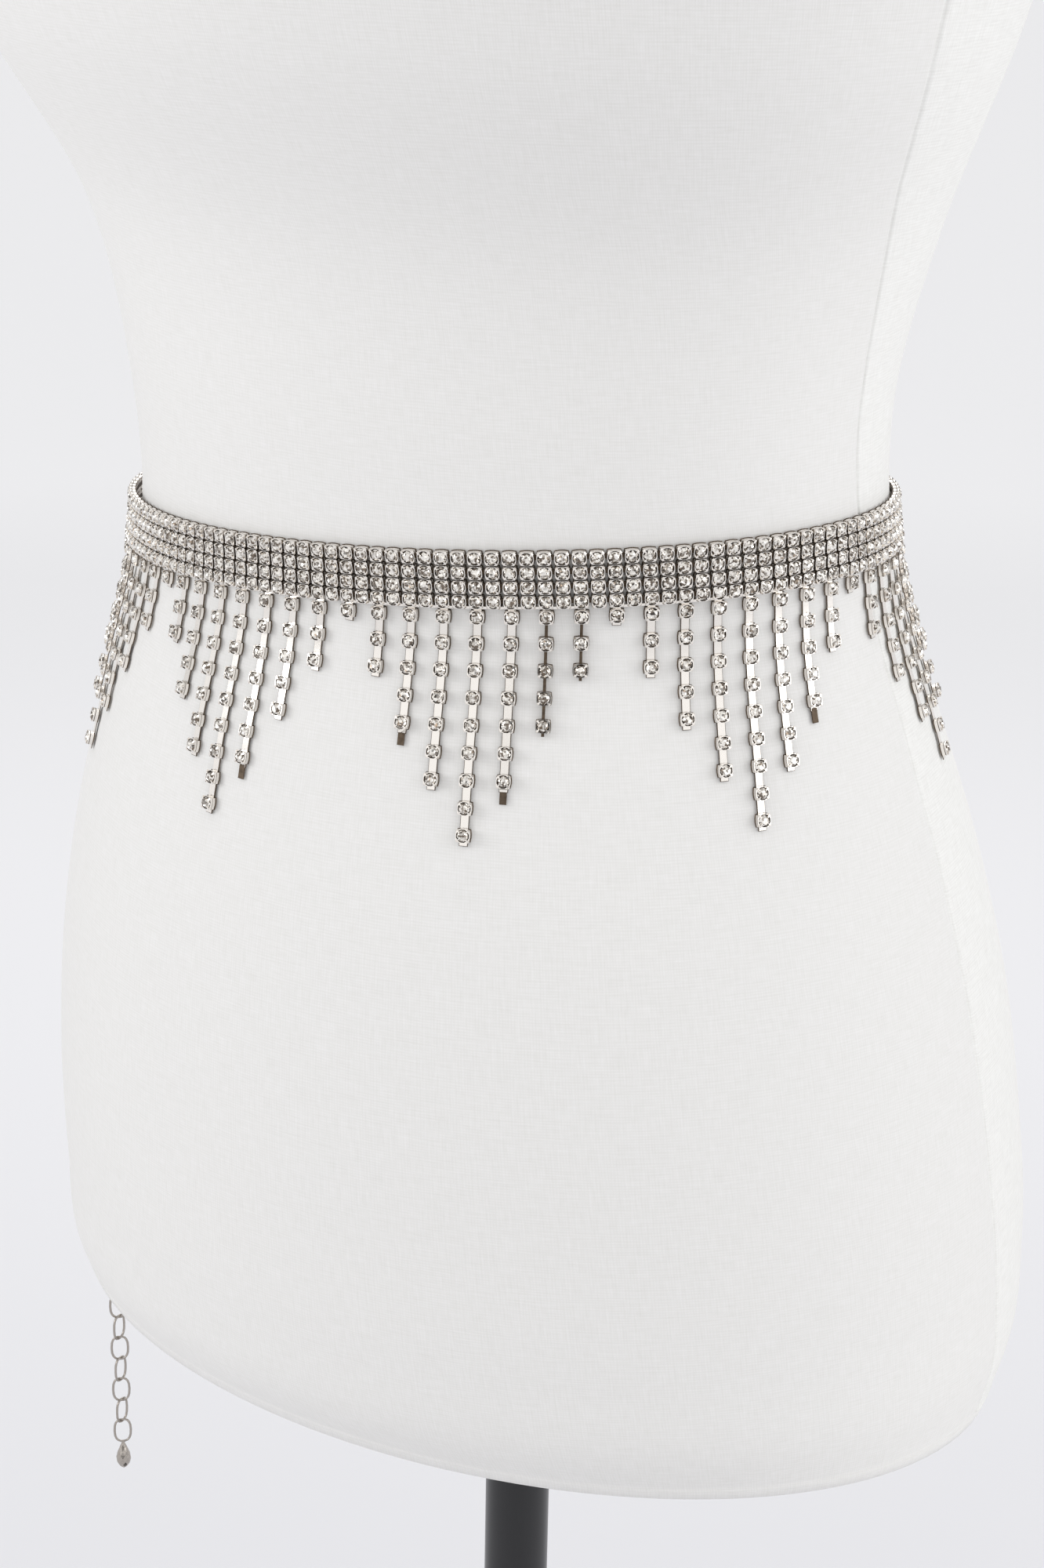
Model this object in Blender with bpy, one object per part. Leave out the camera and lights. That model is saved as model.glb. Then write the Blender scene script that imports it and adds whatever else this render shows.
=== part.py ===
"""Rhinestone waist belt with a stepped fringe, worn by a limbless dress form on a stand.

Run with: blender --background --python part.py
Metres, +Z up, front towards -Y, the stand's underside on z = 0.
"""

import math

import bmesh
import bpy
import numpy as np

# Dress form: one row for each level, lofted as ellipses
FORM_COLUMNS = ("height", "half_width", "half_depth", "centre_y")
FORM_SECTIONS = (
    (0.717, 0.1718, 0.1130, -0.0005),
    (0.736, 0.1757, 0.1340, 0.0060),
    (0.765, 0.1748, 0.1455, 0.0088),
    (0.810, 0.1715, 0.1465, 0.0042),
    (0.860, 0.1645, 0.1430, -0.0010),
    (0.910, 0.1530, 0.1330, -0.0070),
    (0.955, 0.1395, 0.1185, -0.0120),
    (1.000, 0.1262, 0.1025, -0.0168),
    (1.055, 0.1240, 0.0994, -0.0238),
    (1.110, 0.1362, 0.1070, -0.0262),
    (1.170, 0.1610, 0.1265, -0.0425),
    (1.225, 0.1760, 0.1370, -0.0460),
    (1.270, 0.1795, 0.1300, -0.0405),
    (1.315, 0.1800, 0.1140, -0.0300),
    (1.350, 0.1770, 0.0960, -0.0220),
    (1.385, 0.1530, 0.0790, -0.0170),
    (1.412, 0.1130, 0.0680, -0.0150),
    (1.436, 0.0800, 0.0610, -0.0160),
    (1.460, 0.0630, 0.0575, -0.0190),
    (1.490, 0.0570, 0.0560, -0.0220),
    (1.515, 0.0555, 0.0550, -0.0230),
)
FORM_SIDES = 48
FORM_LEVELS = 33
CLOSE_LEVELS = (0.936, 1.044, 10)
RIM_ROUND = 0.004
NECK_DOME = 0.010

# Stand
POLE_RADIUS = 0.0117
BASE_RADIUS = 0.150
BASE_HEIGHT = 0.008
BASE_BEVEL = 0.003
COLLAR_RADIUS = 0.020
COLLAR_HEIGHT = 0.026
STAND_SIDES = 40
POLE_SIDES = 24
SEAM_GAP = 0.0003

# Belt: the ring plane at the first fringe stones, and how that plane tips
BELT_HEIGHT = 0.9992
BELT_SLOPE_X = 0.0777
BELT_SLOPE_Y = -0.0399
STONE_PITCH = 0.0050
ROW_PITCH = 0.00435
ROWS = 4
BAND_BOTTOM = 0.0026
BAND_BACK = 0.0008
BAND_FRONT = 0.0020
STONE_PEAK = 0.0040
CLOSURE_ANGLE = math.radians(-189.7)
CLOSURE_GAP = 0.040
END_LIFT = 0.0030
END_LIFT_LENGTH = 0.085
END_BAR_WIDTH = 0.0030

# Fringe: strands under every second stone column, in steps of two stones
STRAND_PHASE = 0.0520
STRAND_PITCH = 2 * STONE_PITCH
STRANDS_A_WAVE = 8
LONGEST_STRAND = 9
DROP_PITCH = 0.0080
FIRST_STONE = 0.0012
STRIP_TOP = BAND_BOTTOM - SEAM_GAP
STRIP_HEIGHT = 0.0011
STRAND_BACK = 0.0006
LINK_WIDTH = 0.0022
LINK_FRONT = 0.0015
CUP_WIDTH = 0.0042
CUP_FRONT = 0.0034
STUB = 0.0012

# Closure and extender
RING_RADIUS = 0.0022
RING_WIRE = 0.0005
CLASP_LENGTH = 0.0115
CLASP_WIDTH = 0.0062
CLASP_WIRE = 0.0009
CHAIN_PITCH = 0.0095
CHAIN_LINKS = 44
CHAIN_WIDTH = 0.0074
CHAIN_NECK = 0.0018
CHAIN_DEPTH = 0.0014
CHAIN_STEP = 0.001
CHAIN_SAG = 0.002
CHAIN_UPRIGHT = -0.9995
DROP_LENGTH = 0.0130
DROP_RADIUS = 0.0029
DROP_SIDES = 8

# Finite steps
SLOPE_STEP = 0.0005
FRAME_STEP = 0.001


def clear_scene():
    for item in list(bpy.data.objects):
        bpy.data.objects.remove(item, do_unlink=True)


def finish(name, colour, metallic, roughness):
    """A Principled material with a plain colour."""
    material = bpy.data.materials.new(name)
    material.use_nodes = True
    shader = material.node_tree.nodes["Principled BSDF"]
    shader.inputs["Base Color"].default_value = (*colour, 1.0)
    shader.inputs["Metallic"].default_value = metallic
    shader.inputs["Roughness"].default_value = roughness
    return material


def add_solid(name, points, faces, material):
    """One closed mesh object whose faces all point out."""
    mesh = bpy.data.meshes.new(name)
    mesh.from_pydata([tuple(map(float, point)) for point in points], [], faces)
    shape = bmesh.new()
    shape.from_mesh(mesh)
    bmesh.ops.recalc_face_normals(shape, faces=shape.faces)
    if shape.calc_volume(signed=True) < 0:
        bmesh.ops.reverse_faces(shape, faces=shape.faces)
    shape.to_mesh(mesh)
    shape.free()
    mesh.materials.append(material)
    item = bpy.data.objects.new(name, mesh)
    bpy.context.scene.collection.objects.link(item)
    return item


def tube_faces(rings, sides, start=0):
    """Quads between rings of equal size, with a cap on the first and the last."""
    faces = []
    for ring in range(rings - 1):
        low = start + ring * sides
        for side in range(sides):
            after = (side + 1) % sides
            faces.append((low + side, low + after, low + sides + after, low + sides + side))
    faces.append(tuple(start + side for side in range(sides)))
    faces.append(tuple(start + (rings - 1) * sides + side for side in range(sides)))
    return faces


def add_lathe(name, profile, sides, material, centre=(0.0, 0.0, 0.0)):
    """A solid turned about a vertical axis from (radius, height) rows."""
    angle = np.arange(sides) * 2 * math.pi / sides
    points = []
    for radius, height in profile:
        for turn in angle:
            x = centre[0] + radius * math.cos(turn)
            y = centre[1] + radius * math.sin(turn)
            points.append((x, y, centre[2] + height))
    return add_solid(name, points, tube_faces(len(profile), sides), material)


def form_section(height):
    """Half width, half depth and centre of the form at any height, as a smooth curve through the table."""
    table = np.array(FORM_SECTIONS)
    level = table[:, 0]
    height = np.clip(np.asarray(height, float), level[0], level[-1])
    place = np.clip(np.searchsorted(level, height, side="right") - 1, 0, len(level) - 2)
    span = level[place + 1] - level[place]
    share = (height - level[place]) / span
    found = []
    for column in range(1, len(FORM_COLUMNS)):
        value = table[:, column]
        slope = np.gradient(value, level)
        start, end = value[place], value[place + 1]
        lean, next_lean = slope[place] * span, slope[place + 1] * span
        cubic = 2 * start - 2 * end + lean + next_lean
        square = -3 * start + 3 * end - 2 * lean - next_lean
        found.append(((cubic * share + square) * share + lean) * share + start)
    return found


def form_miss(points):
    """How far outside (positive) or inside the form each point is, as a share of the section."""
    wide, deep, centre = form_section(points[:, 2])
    return (points[:, 0] / wide) ** 2 + ((points[:, 1] - centre) / deep) ** 2 - 1


def form_normal(points):
    """Outward unit normals of the form and the gradient's size at points on it."""
    slope = np.empty_like(points)
    for axis in range(3):
        move = np.zeros(3)
        move[axis] = SLOPE_STEP
        slope[:, axis] = (form_miss(points + move) - form_miss(points - move)) / (2 * SLOPE_STEP)
    size = np.linalg.norm(slope, axis=1, keepdims=True)
    return slope / size, size


def belt_points(angle, rise, offset):
    """Points beside the form at a ring angle, a rise over the belt's plane and an offset from the form."""
    angle = np.asarray(angle, float)
    x = np.zeros_like(angle)
    y = np.zeros_like(angle)
    for _ in range(8):
        height = BELT_HEIGHT + rise + BELT_SLOPE_X * x + BELT_SLOPE_Y * y
        wide, deep, centre = form_section(height)
        x = wide * np.cos(angle)
        y = centre + deep * np.sin(angle)
    out_x = np.cos(angle) / wide
    out_y = np.sin(angle) / deep
    size = np.hypot(out_x, out_y)
    return np.stack([x + offset * out_x / size, y + offset * out_y / size, height], axis=-1)


def ring_measure():
    """Ring angles from the closure once round, and the length along the band's face, zero at the front."""
    angle = np.linspace(CLOSURE_ANGLE, CLOSURE_ANGLE + 2 * math.pi, 4001)
    middle = BAND_BOTTOM + ROWS * ROW_PITCH / 2
    points = belt_points(angle, middle, BAND_FRONT)
    length = np.concatenate([[0.0], np.cumsum(np.linalg.norm(np.diff(points, axis=0), axis=1))])
    return angle, length - np.interp(-math.pi / 2, angle, length)


RING_ANGLE, RING_LENGTH = ring_measure()
BAND_START = RING_LENGTH[0] + CLOSURE_GAP / 2
BAND_END = RING_LENGTH[-1] - CLOSURE_GAP / 2


def angle_at(length):
    return np.interp(length, RING_LENGTH, RING_ANGLE)


def end_lift(length):
    """How far the band stands off the form near its ends, where the closure pulls it straight."""
    near = np.minimum(length - BAND_START, BAND_END - length)
    share = np.clip(1 - near / END_LIFT_LENGTH, 0, 1)
    return END_LIFT * share**2 * (3 - 2 * share)


def column_places():
    """Lengths round the band of the stone columns, in step with the fringe strands."""
    first = math.ceil((BAND_START + STONE_PITCH / 2 - STRAND_PHASE) / STONE_PITCH)
    last = math.floor((BAND_END - STONE_PITCH / 2 - STRAND_PHASE) / STONE_PITCH)
    return np.arange(first, last + 1)


def build_form(material):
    table = np.array(FORM_SECTIONS)
    low, high = table[0, 0], table[-1, 0]
    heights = np.linspace(low + RIM_ROUND, high, FORM_LEVELS)
    close = np.linspace(*CLOSE_LEVELS)
    spread = (high - low) / FORM_LEVELS / 2
    heights = heights[(heights < close[0] - spread) | (heights > close[-1] + spread)]
    heights = np.sort(np.concatenate([heights, close]))
    wide, deep, centre = form_section(heights)
    round_steps = ((low, 1 - RIM_ROUND), (low + 0.3 * RIM_ROUND, 1 - 0.3 * RIM_ROUND))
    rings = [(rim, wide[0] - (1 - inset), deep[0] - (1 - inset), centre[0]) for rim, inset in round_steps]
    rings += list(zip(heights, wide, deep, centre))
    for share in (0.35, 0.70, 0.92):
        small = math.sqrt(1 - share**2)
        rings.append((high + NECK_DOME * share, wide[-1] * small, deep[-1] * small, centre[-1]))
    angle = np.arange(FORM_SIDES) * 2 * math.pi / FORM_SIDES
    points = [
        (half_width * math.cos(turn), middle + half_depth * math.sin(turn), height)
        for height, half_width, half_depth, middle in rings
        for turn in angle
    ]
    add_solid("torso_form", points, tube_faces(len(rings), FORM_SIDES), material)


def build_stand(material):
    base = (
        (BASE_RADIUS - BASE_BEVEL, 0.0),
        (BASE_RADIUS, BASE_BEVEL),
        (BASE_RADIUS, BASE_HEIGHT - BASE_BEVEL),
        (BASE_RADIUS - BASE_BEVEL, BASE_HEIGHT),
        (COLLAR_RADIUS, BASE_HEIGHT),
        (COLLAR_RADIUS, COLLAR_HEIGHT - BASE_BEVEL),
        (COLLAR_RADIUS - BASE_BEVEL, COLLAR_HEIGHT),
    )
    add_lathe("stand_base", base, STAND_SIDES, material)
    top = FORM_SECTIONS[0][0] - SEAM_GAP
    add_lathe("stand_pole", ((POLE_RADIUS, COLLAR_HEIGHT + SEAM_GAP), (POLE_RADIUS, top)), POLE_SIDES, material)


def build_band(material):
    """Four rows of stones, raised as points on the outside of one plain wall."""
    columns = column_places()
    edges = STRAND_PHASE + (np.arange(columns[0], columns[-1] + 2) - 0.5) * STONE_PITCH
    middles = STRAND_PHASE + columns * STONE_PITCH
    rises = BAND_BOTTOM + np.arange(ROWS + 1) * ROW_PITCH
    wall = [belt_points(angle_at(edges), rise, BAND_FRONT + end_lift(edges)) for rise in rises]
    rows = rises[:-1] + ROW_PITCH / 2
    peaks = [belt_points(angle_at(middles), row, STONE_PEAK + end_lift(middles)) for row in rows]
    inside = [belt_points(angle_at(edges), rise, BAND_BACK + end_lift(edges)) for rise in (rises[0], rises[-1])]
    points = np.concatenate(wall + peaks + inside)
    count = len(edges)
    first_peak = (ROWS + 1) * count
    low_back = first_peak + ROWS * len(middles)
    high_back = low_back + count
    top = ROWS * count
    faces = []
    for row in range(ROWS):
        for column in range(len(middles)):
            a = row * count + column
            peak = first_peak + row * len(middles) + column
            corners = (a, a + 1, a + count + 1, a + count)
            for corner in range(4):
                faces.append((corners[corner], corners[(corner + 1) % 4], peak))
    for column in range(len(middles)):
        faces.append((column, column + 1, low_back + column + 1, low_back + column))
        faces.append((top + column, top + column + 1, high_back + column + 1, high_back + column))
        faces.append((low_back + column, low_back + column + 1, high_back + column + 1, high_back + column))
    for column in (0, count - 1):
        outer = tuple(row * count + column for row in range(ROWS + 1))
        faces.append(outer + (high_back + column, low_back + column))
    add_solid("stone_band", points, faces, material)
    return edges[0], edges[-1]


def build_end_bar(name, start, end, material):
    """A plain plate that closes the four rows at one end of the band."""
    length = np.array([start, end])
    corners = []
    for rise in (BAND_BOTTOM, BAND_BOTTOM + ROWS * ROW_PITCH):
        lift = end_lift(length)
        back = belt_points(angle_at(length), rise, BAND_BACK + lift)
        front = belt_points(angle_at(length), rise, BAND_FRONT + lift)
        corners.append((back[0], back[1], front[1], front[0]))
    add_solid(name, np.concatenate(corners), tube_faces(2, 4), material)


def walk_down(start, steps, step):
    """Paths of steepest descent over the form from several points, with the form's normals along them."""
    point = np.array(start, float)
    path, normals, ways = [], [], []
    for _ in range(steps + 1):
        for _ in range(3):
            normal, size = form_normal(point)
            point = point - normal * form_miss(point)[:, None] / size
        down = normal * normal[:, 2:3] - np.array([0.0, 0.0, 1.0])
        down /= np.linalg.norm(down, axis=1, keepdims=True)
        path.append(point)
        normals.append(normal)
        ways.append(down)
        point = point + down * step
    return np.array(path), np.array(normals), np.array(ways)


def stones_on(strand):
    """Stones on a strand, numbered round the belt: a wave that rises and falls in steps of two."""
    step = (strand - 4) % STRANDS_A_WAVE
    return LONGEST_STRAND - 2 * min(step, STRANDS_A_WAVE - step)


def strand_numbers():
    """Strands that the band is long enough to carry, numbered as in the photo from its left side."""
    places = column_places()
    return [13 + place // 2 for place in places if place % 2 == 0]


def strand_ring(point, normal, down, width, front):
    side = np.cross(down, normal)
    side /= np.linalg.norm(side)
    half = side * width / 2
    back = normal * STRAND_BACK
    face = normal * front
    return [point - half + back, point + half + back, point + half + face, point - half + face]


def build_fringe(material):
    """One backing strip for each wave of strands, with the strands growing out of its underside."""
    numbers = strand_numbers()
    root = STRIP_TOP - STRIP_HEIGHT
    places = STRAND_PHASE + (np.array(numbers) - 13) * STRAND_PITCH
    step = DROP_PITCH / 8
    steps = 8 * LONGEST_STRAND + 4
    path, normals, ways = walk_down(belt_points(angle_at(places), root, 0.0), steps, step)
    waves = sorted({number // STRANDS_A_WAVE for number in numbers})
    for index, wave in enumerate(waves):
        members = [i for i, number in enumerate(numbers) if number // STRANDS_A_WAVE == wave]
        cuts = []
        for member in members:
            cuts += [places[member] - LINK_WIDTH / 2, places[member] + LINK_WIDTH / 2]
        cuts = np.array(cuts)
        lift = end_lift(cuts)
        ring = [
            belt_points(angle_at(cuts), root, BAND_BACK + lift),
            belt_points(angle_at(cuts), root, BAND_FRONT + lift),
            belt_points(angle_at(cuts), STRIP_TOP, BAND_FRONT + lift),
            belt_points(angle_at(cuts), STRIP_TOP, BAND_BACK + lift),
        ]
        points = [ring[corner][cut] for cut in range(len(cuts)) for corner in range(4)]
        faces = [(0, 1, 2, 3)]
        for cut in range(len(cuts) - 1):
            low, high = cut * 4, cut * 4 + 4
            faces.append((low + 1, low + 2, high + 2, high + 1))
            faces.append((low + 2, low + 3, high + 3, high + 2))
            faces.append((low + 3, low, high, high + 3))
            if cut % 2 == 1:
                faces.append((low, low + 1, high + 1, high))
        last = 4 * (len(cuts) - 1)
        faces.append((last, last + 1, last + 2, last + 3))
        for order, member in enumerate(members):
            left = order * 8
            previous = [left, left + 4, left + 5, left + 1]
            stones = stones_on(numbers[member])
            rows = []
            for stone in range(stones):
                middle = FIRST_STONE + stone * DROP_PITCH
                rows.append((middle, CUP_WIDTH, CUP_FRONT))
                if stone < stones - 1:
                    rows.append((middle + DROP_PITCH / 2, LINK_WIDTH, LINK_FRONT))
            rows.append((rows[-1][0] + CUP_WIDTH / 2 + STUB, LINK_WIDTH, LINK_FRONT))
            for distance, width, front in rows:
                place = distance / step
                low_step = int(place)
                share = place - low_step
                spot = path[low_step, member] * (1 - share) + path[low_step + 1, member] * share
                normal = normals[low_step, member]
                corners = strand_ring(spot, normal, ways[low_step, member], width, front)
                first = len(points)
                points += corners
                for side in range(4):
                    after = (side + 1) % 4
                    faces.append((previous[side], previous[after], first + after, first + side))
                previous = [first, first + 1, first + 2, first + 3]
            faces.append(tuple(previous))
        add_solid(f"fringe_{index + 1:02d}", points, faces, material)


def loop_solid(name, centre, along, across, half_length, half_width, wire, material):
    """A closed wire loop, longer along one direction than across it."""
    out = np.cross(along, across)
    points = []
    turns, sides = 14, 5
    for turn in range(turns):
        angle = 2 * math.pi * turn / turns
        radial = along * math.cos(angle) * half_length + across * math.sin(angle) * half_width
        outward = radial / np.linalg.norm(radial)
        for side in range(sides):
            twist = 2 * math.pi * side / sides
            points.append(centre + radial + outward * wire * math.cos(twist) + out * wire * math.sin(twist))
    faces = []
    for turn in range(turns):
        low, high = turn * sides, ((turn + 1) % turns) * sides
        for side in range(sides):
            after = (side + 1) % sides
            faces.append((low + side, low + after, high + after, high + side))
    add_solid(name, points, faces, material)


def belt_frame(length, rise, offset):
    """A point beside the form with the directions along the belt, up and out."""
    spots = belt_points(angle_at(length + np.array([-FRAME_STEP, 0.0, FRAME_STEP])), rise, offset)
    along = spots[2] - spots[0]
    along /= np.linalg.norm(along)
    out = form_normal(spots[1:2])[0][0]
    up = np.cross(out, along)
    return spots[1], along, up / np.linalg.norm(up), out


def build_closure(band_start, band_end, material):
    """End bars, a ring at each, and the lobster clasp on the band's far end."""
    gap = SEAM_GAP
    build_end_bar("end_bar_front", band_start - gap - END_BAR_WIDTH, band_start - gap, material)
    build_end_bar("end_bar_back", band_end + gap, band_end + gap + END_BAR_WIDTH, material)
    middle = BAND_BOTTOM + ROWS * ROW_PITCH / 2
    reach = RING_RADIUS + RING_WIRE
    offset = BAND_FRONT + END_LIFT
    ring_front = band_start - 2 * gap - END_BAR_WIDTH - reach
    spot, along, up, _ = belt_frame(ring_front, middle, offset)
    loop_solid("ring_front", spot, along, up, RING_RADIUS, RING_RADIUS, RING_WIRE, material)
    whole = RING_LENGTH[-1] - RING_LENGTH[0]
    ring_back = band_end + 2 * gap + END_BAR_WIDTH + reach
    clasp = ring_back + reach + gap + CLASP_LENGTH / 2
    for name, place, half_length, half_width, wire in (
        ("ring_back", ring_back, RING_RADIUS, RING_RADIUS, RING_WIRE),
        ("clasp", clasp, CLASP_LENGTH / 2 - CLASP_WIRE, CLASP_WIDTH / 2 - CLASP_WIRE, CLASP_WIRE),
    ):
        place = place - whole if place > RING_LENGTH[-1] - FRAME_STEP else place
        spot, along, up, _ = belt_frame(place, middle, offset)
        loop_solid(name, spot, along, up, half_length, half_width, wire, material)
    chain_start = ring_front - reach - gap
    chain_turn = clasp + CLASP_LENGTH / 2 - whole + gap + CHAIN_WIDTH / 2
    return chain_start, chain_turn, middle, offset


def chain_path(start, turn, rise):
    """The chain's line: along the belt to the clasp, down over the hip, then straight down."""
    run = np.linspace(start, turn, 12)
    points = list(belt_points(angle_at(run), rise, 0.0))
    steps = int(CHAIN_LINKS * CHAIN_PITCH / CHAIN_STEP)
    path, _, ways = walk_down(belt_points(angle_at(np.array([turn])), rise - CHAIN_SAG, 0.0), steps, CHAIN_STEP)
    for spot, way in zip(path[:, 0], ways[:, 0]):
        points.append(spot)
        if way[2] < CHAIN_UPRIGHT:
            break
    lowest = points[-1]
    for drop in range(1, steps):
        points.append(lowest - np.array([0.0, 0.0, CHAIN_STEP * drop]))
    return np.array(points)


def build_extender(start, turn, rise, offset, material):
    """The extender chain as one plain strand that widens at each link, and the drop on its end."""
    line = chain_path(start, turn, rise)
    length = np.concatenate([[0.0], np.cumsum(np.linalg.norm(np.diff(line, axis=0), axis=1))])
    points = []
    rings = 2 * CHAIN_LINKS + 1
    for half in range(rings):
        place = half * CHAIN_PITCH / 2
        spot = np.array([np.interp(place, length, line[:, axis]) for axis in range(3)])
        ahead = np.array([np.interp(place + 2 * CHAIN_STEP, length, line[:, axis]) for axis in range(3)])
        way = ahead - spot
        way /= np.linalg.norm(way)
        flat = np.array([[spot[0], spot[1], max(spot[2], FORM_SECTIONS[1][0])]])
        out = form_normal(flat)[0][0]
        out -= way * out.dot(way)
        out /= np.linalg.norm(out)
        side = np.cross(way, out)
        width = CHAIN_WIDTH if half % 2 else CHAIN_NECK
        spot = spot + out * (offset - CHAIN_DEPTH / 2)
        for across, deep in ((-1, -1), (1, -1), (1, 1), (-1, 1)):
            points.append(spot + side * across * width / 2 + out * deep * CHAIN_DEPTH / 2)
    add_solid("extender_chain", points, tube_faces(rings, 4), material)
    hang = sum(points[-4:]) / 4
    profile = (
        (0.2 * DROP_RADIUS, 0.0),
        (0.4 * DROP_RADIUS, -0.12 * DROP_LENGTH),
        (0.75 * DROP_RADIUS, -0.4 * DROP_LENGTH),
        (DROP_RADIUS, -0.7 * DROP_LENGTH),
        (0.8 * DROP_RADIUS, -0.9 * DROP_LENGTH),
        (0.3 * DROP_RADIUS, -DROP_LENGTH),
    )
    top = hang[2] - SEAM_GAP
    add_lathe("extender_drop", profile, DROP_SIDES, material, (hang[0], hang[1], top))


def main():
    clear_scene()
    cloth = finish("linen_form", (0.80, 0.79, 0.77), 0.0, 0.9)
    metal = finish("silver_plate", (0.78, 0.78, 0.79), 1.0, 0.2)
    stones = finish("clear_stones", (0.86, 0.87, 0.90), 0.9, 0.08)
    black = finish("black_enamel", (0.02, 0.02, 0.02), 0.0, 0.3)
    build_form(cloth)
    build_stand(black)
    band_start, band_end = build_band(stones)
    chain_start, chain_turn, rise, offset = build_closure(band_start, band_end, metal)
    build_extender(chain_start, chain_turn, rise, offset, metal)
    build_fringe(stones)


main()
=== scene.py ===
"""Looks of the rhinestone waist belt on its dress form.

Every stone, cup, link and strand is laid out by the same named sizes as the solids, so each piece lies
where its node is. Metres, +Z up, the form's front towards -Y.
"""

from __future__ import annotations

import logging
import math
from dataclasses import dataclass, field
from enum import Enum
from typing import Any

import bpy
import numpy as np
from mathutils import Matrix


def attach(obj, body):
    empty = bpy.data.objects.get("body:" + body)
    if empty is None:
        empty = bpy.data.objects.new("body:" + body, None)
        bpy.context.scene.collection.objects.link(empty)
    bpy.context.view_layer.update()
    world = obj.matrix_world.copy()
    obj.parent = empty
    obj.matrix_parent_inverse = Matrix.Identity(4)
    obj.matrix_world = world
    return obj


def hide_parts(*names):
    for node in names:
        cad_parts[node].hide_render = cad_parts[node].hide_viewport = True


Array = np.ndarray
LOG = logging.getLogger("belt")

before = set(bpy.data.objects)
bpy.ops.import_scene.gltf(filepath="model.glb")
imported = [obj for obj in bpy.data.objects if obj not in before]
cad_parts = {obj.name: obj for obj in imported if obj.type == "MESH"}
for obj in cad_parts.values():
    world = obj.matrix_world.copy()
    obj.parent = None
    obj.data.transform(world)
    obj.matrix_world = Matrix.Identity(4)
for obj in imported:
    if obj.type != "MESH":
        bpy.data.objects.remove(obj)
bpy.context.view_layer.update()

MM = 0.001
MAP_RADIUS = 0.15


class Body(Enum):
    """The one rigid body that every piece rides on."""

    ROOT = "root"


class Slot(Enum):
    """Material slots of the record."""

    FORM = "linen_form"
    STAND = "black_enamel"
    METAL = "silver_plate"
    STONES = "clear_stones"


# Meshes


@dataclass
class Shell:
    """Points and faces of one mesh, with an optional map value for each point.

    Attributes:
        points: An (N, 3) array in metres.
        faces: Face corners, as an (M, 3) or (M, 4) array or a list of them.
        across: An (N, 2) array of surface places in metres, or None.
    """

    points: Array
    faces: list[Array]
    across: Array | None = None


def grid_faces(rows: int, columns: int, closed: bool) -> Array:
    """Quads of a grid of points held row by row.

    Args:
        rows: Rows of points.
        columns: Points in each row.
        closed: Whether each row's last point joins its first.

    Returns:
        An (M, 4) array of corner numbers.
    """
    row = np.arange(rows - 1)[:, None]
    column = np.arange(columns if closed else columns - 1)[None, :]
    after = (column + 1) % columns
    low, high = row * columns, (row + 1) * columns
    return np.stack([low + column, low + after, high + after, high + column], axis=-1).reshape(-1, 4)


def join_shells(shells: list[Shell]) -> Shell:
    """Several shells as one, with their corner numbers moved on.

    Args:
        shells: The shells, none of which carries a surface map.

    Returns:
        One shell.
    """
    faces: list[Array] = []
    start = 0
    for shell in shells:
        faces += [part + start for part in shell.faces]
        start += len(shell.points)
    return Shell(np.concatenate([shell.points for shell in shells]), faces)


def repeat_shell(unit: Shell, places: Array, frames: Array) -> Shell:
    """A unit shape set down at many places.

    Each point is its place plus the frame's axes times the unit's point.

    Args:
        unit: The shape about its own origin.
        places: An (N, 3) array of origins.
        frames: An (N, 3, 3) array whose rows are the unit's axes in space.

    Returns:
        All the copies as one shell.
    """
    points = places[:, None, :] + np.einsum("pk,nkc->npc", unit.points, frames)
    shift = np.arange(len(places)) * len(unit.points)
    faces = [(part[None] + shift[:, None, None]).reshape(-1, part.shape[1]) for part in unit.faces]
    return Shell(points.reshape(-1, 3), faces)


def unit_rows(vectors: Array) -> Array:
    """Vectors scaled to length one along the last axis."""
    return vectors / np.linalg.norm(vectors, axis=-1, keepdims=True)


def read_path(values: Array, distance: Array, wanted: Array) -> Array:
    """Values read off a path at wanted distances, straight between its points.

    Args:
        values: (steps, 3) values.
        distance: Their distances along the path.
        wanted: Distances to read at.

    Returns:
        An (N, 3) array.
    """
    return np.stack([np.interp(wanted, distance, values[:, axis]) for axis in range(3)], axis=-1)


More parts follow.
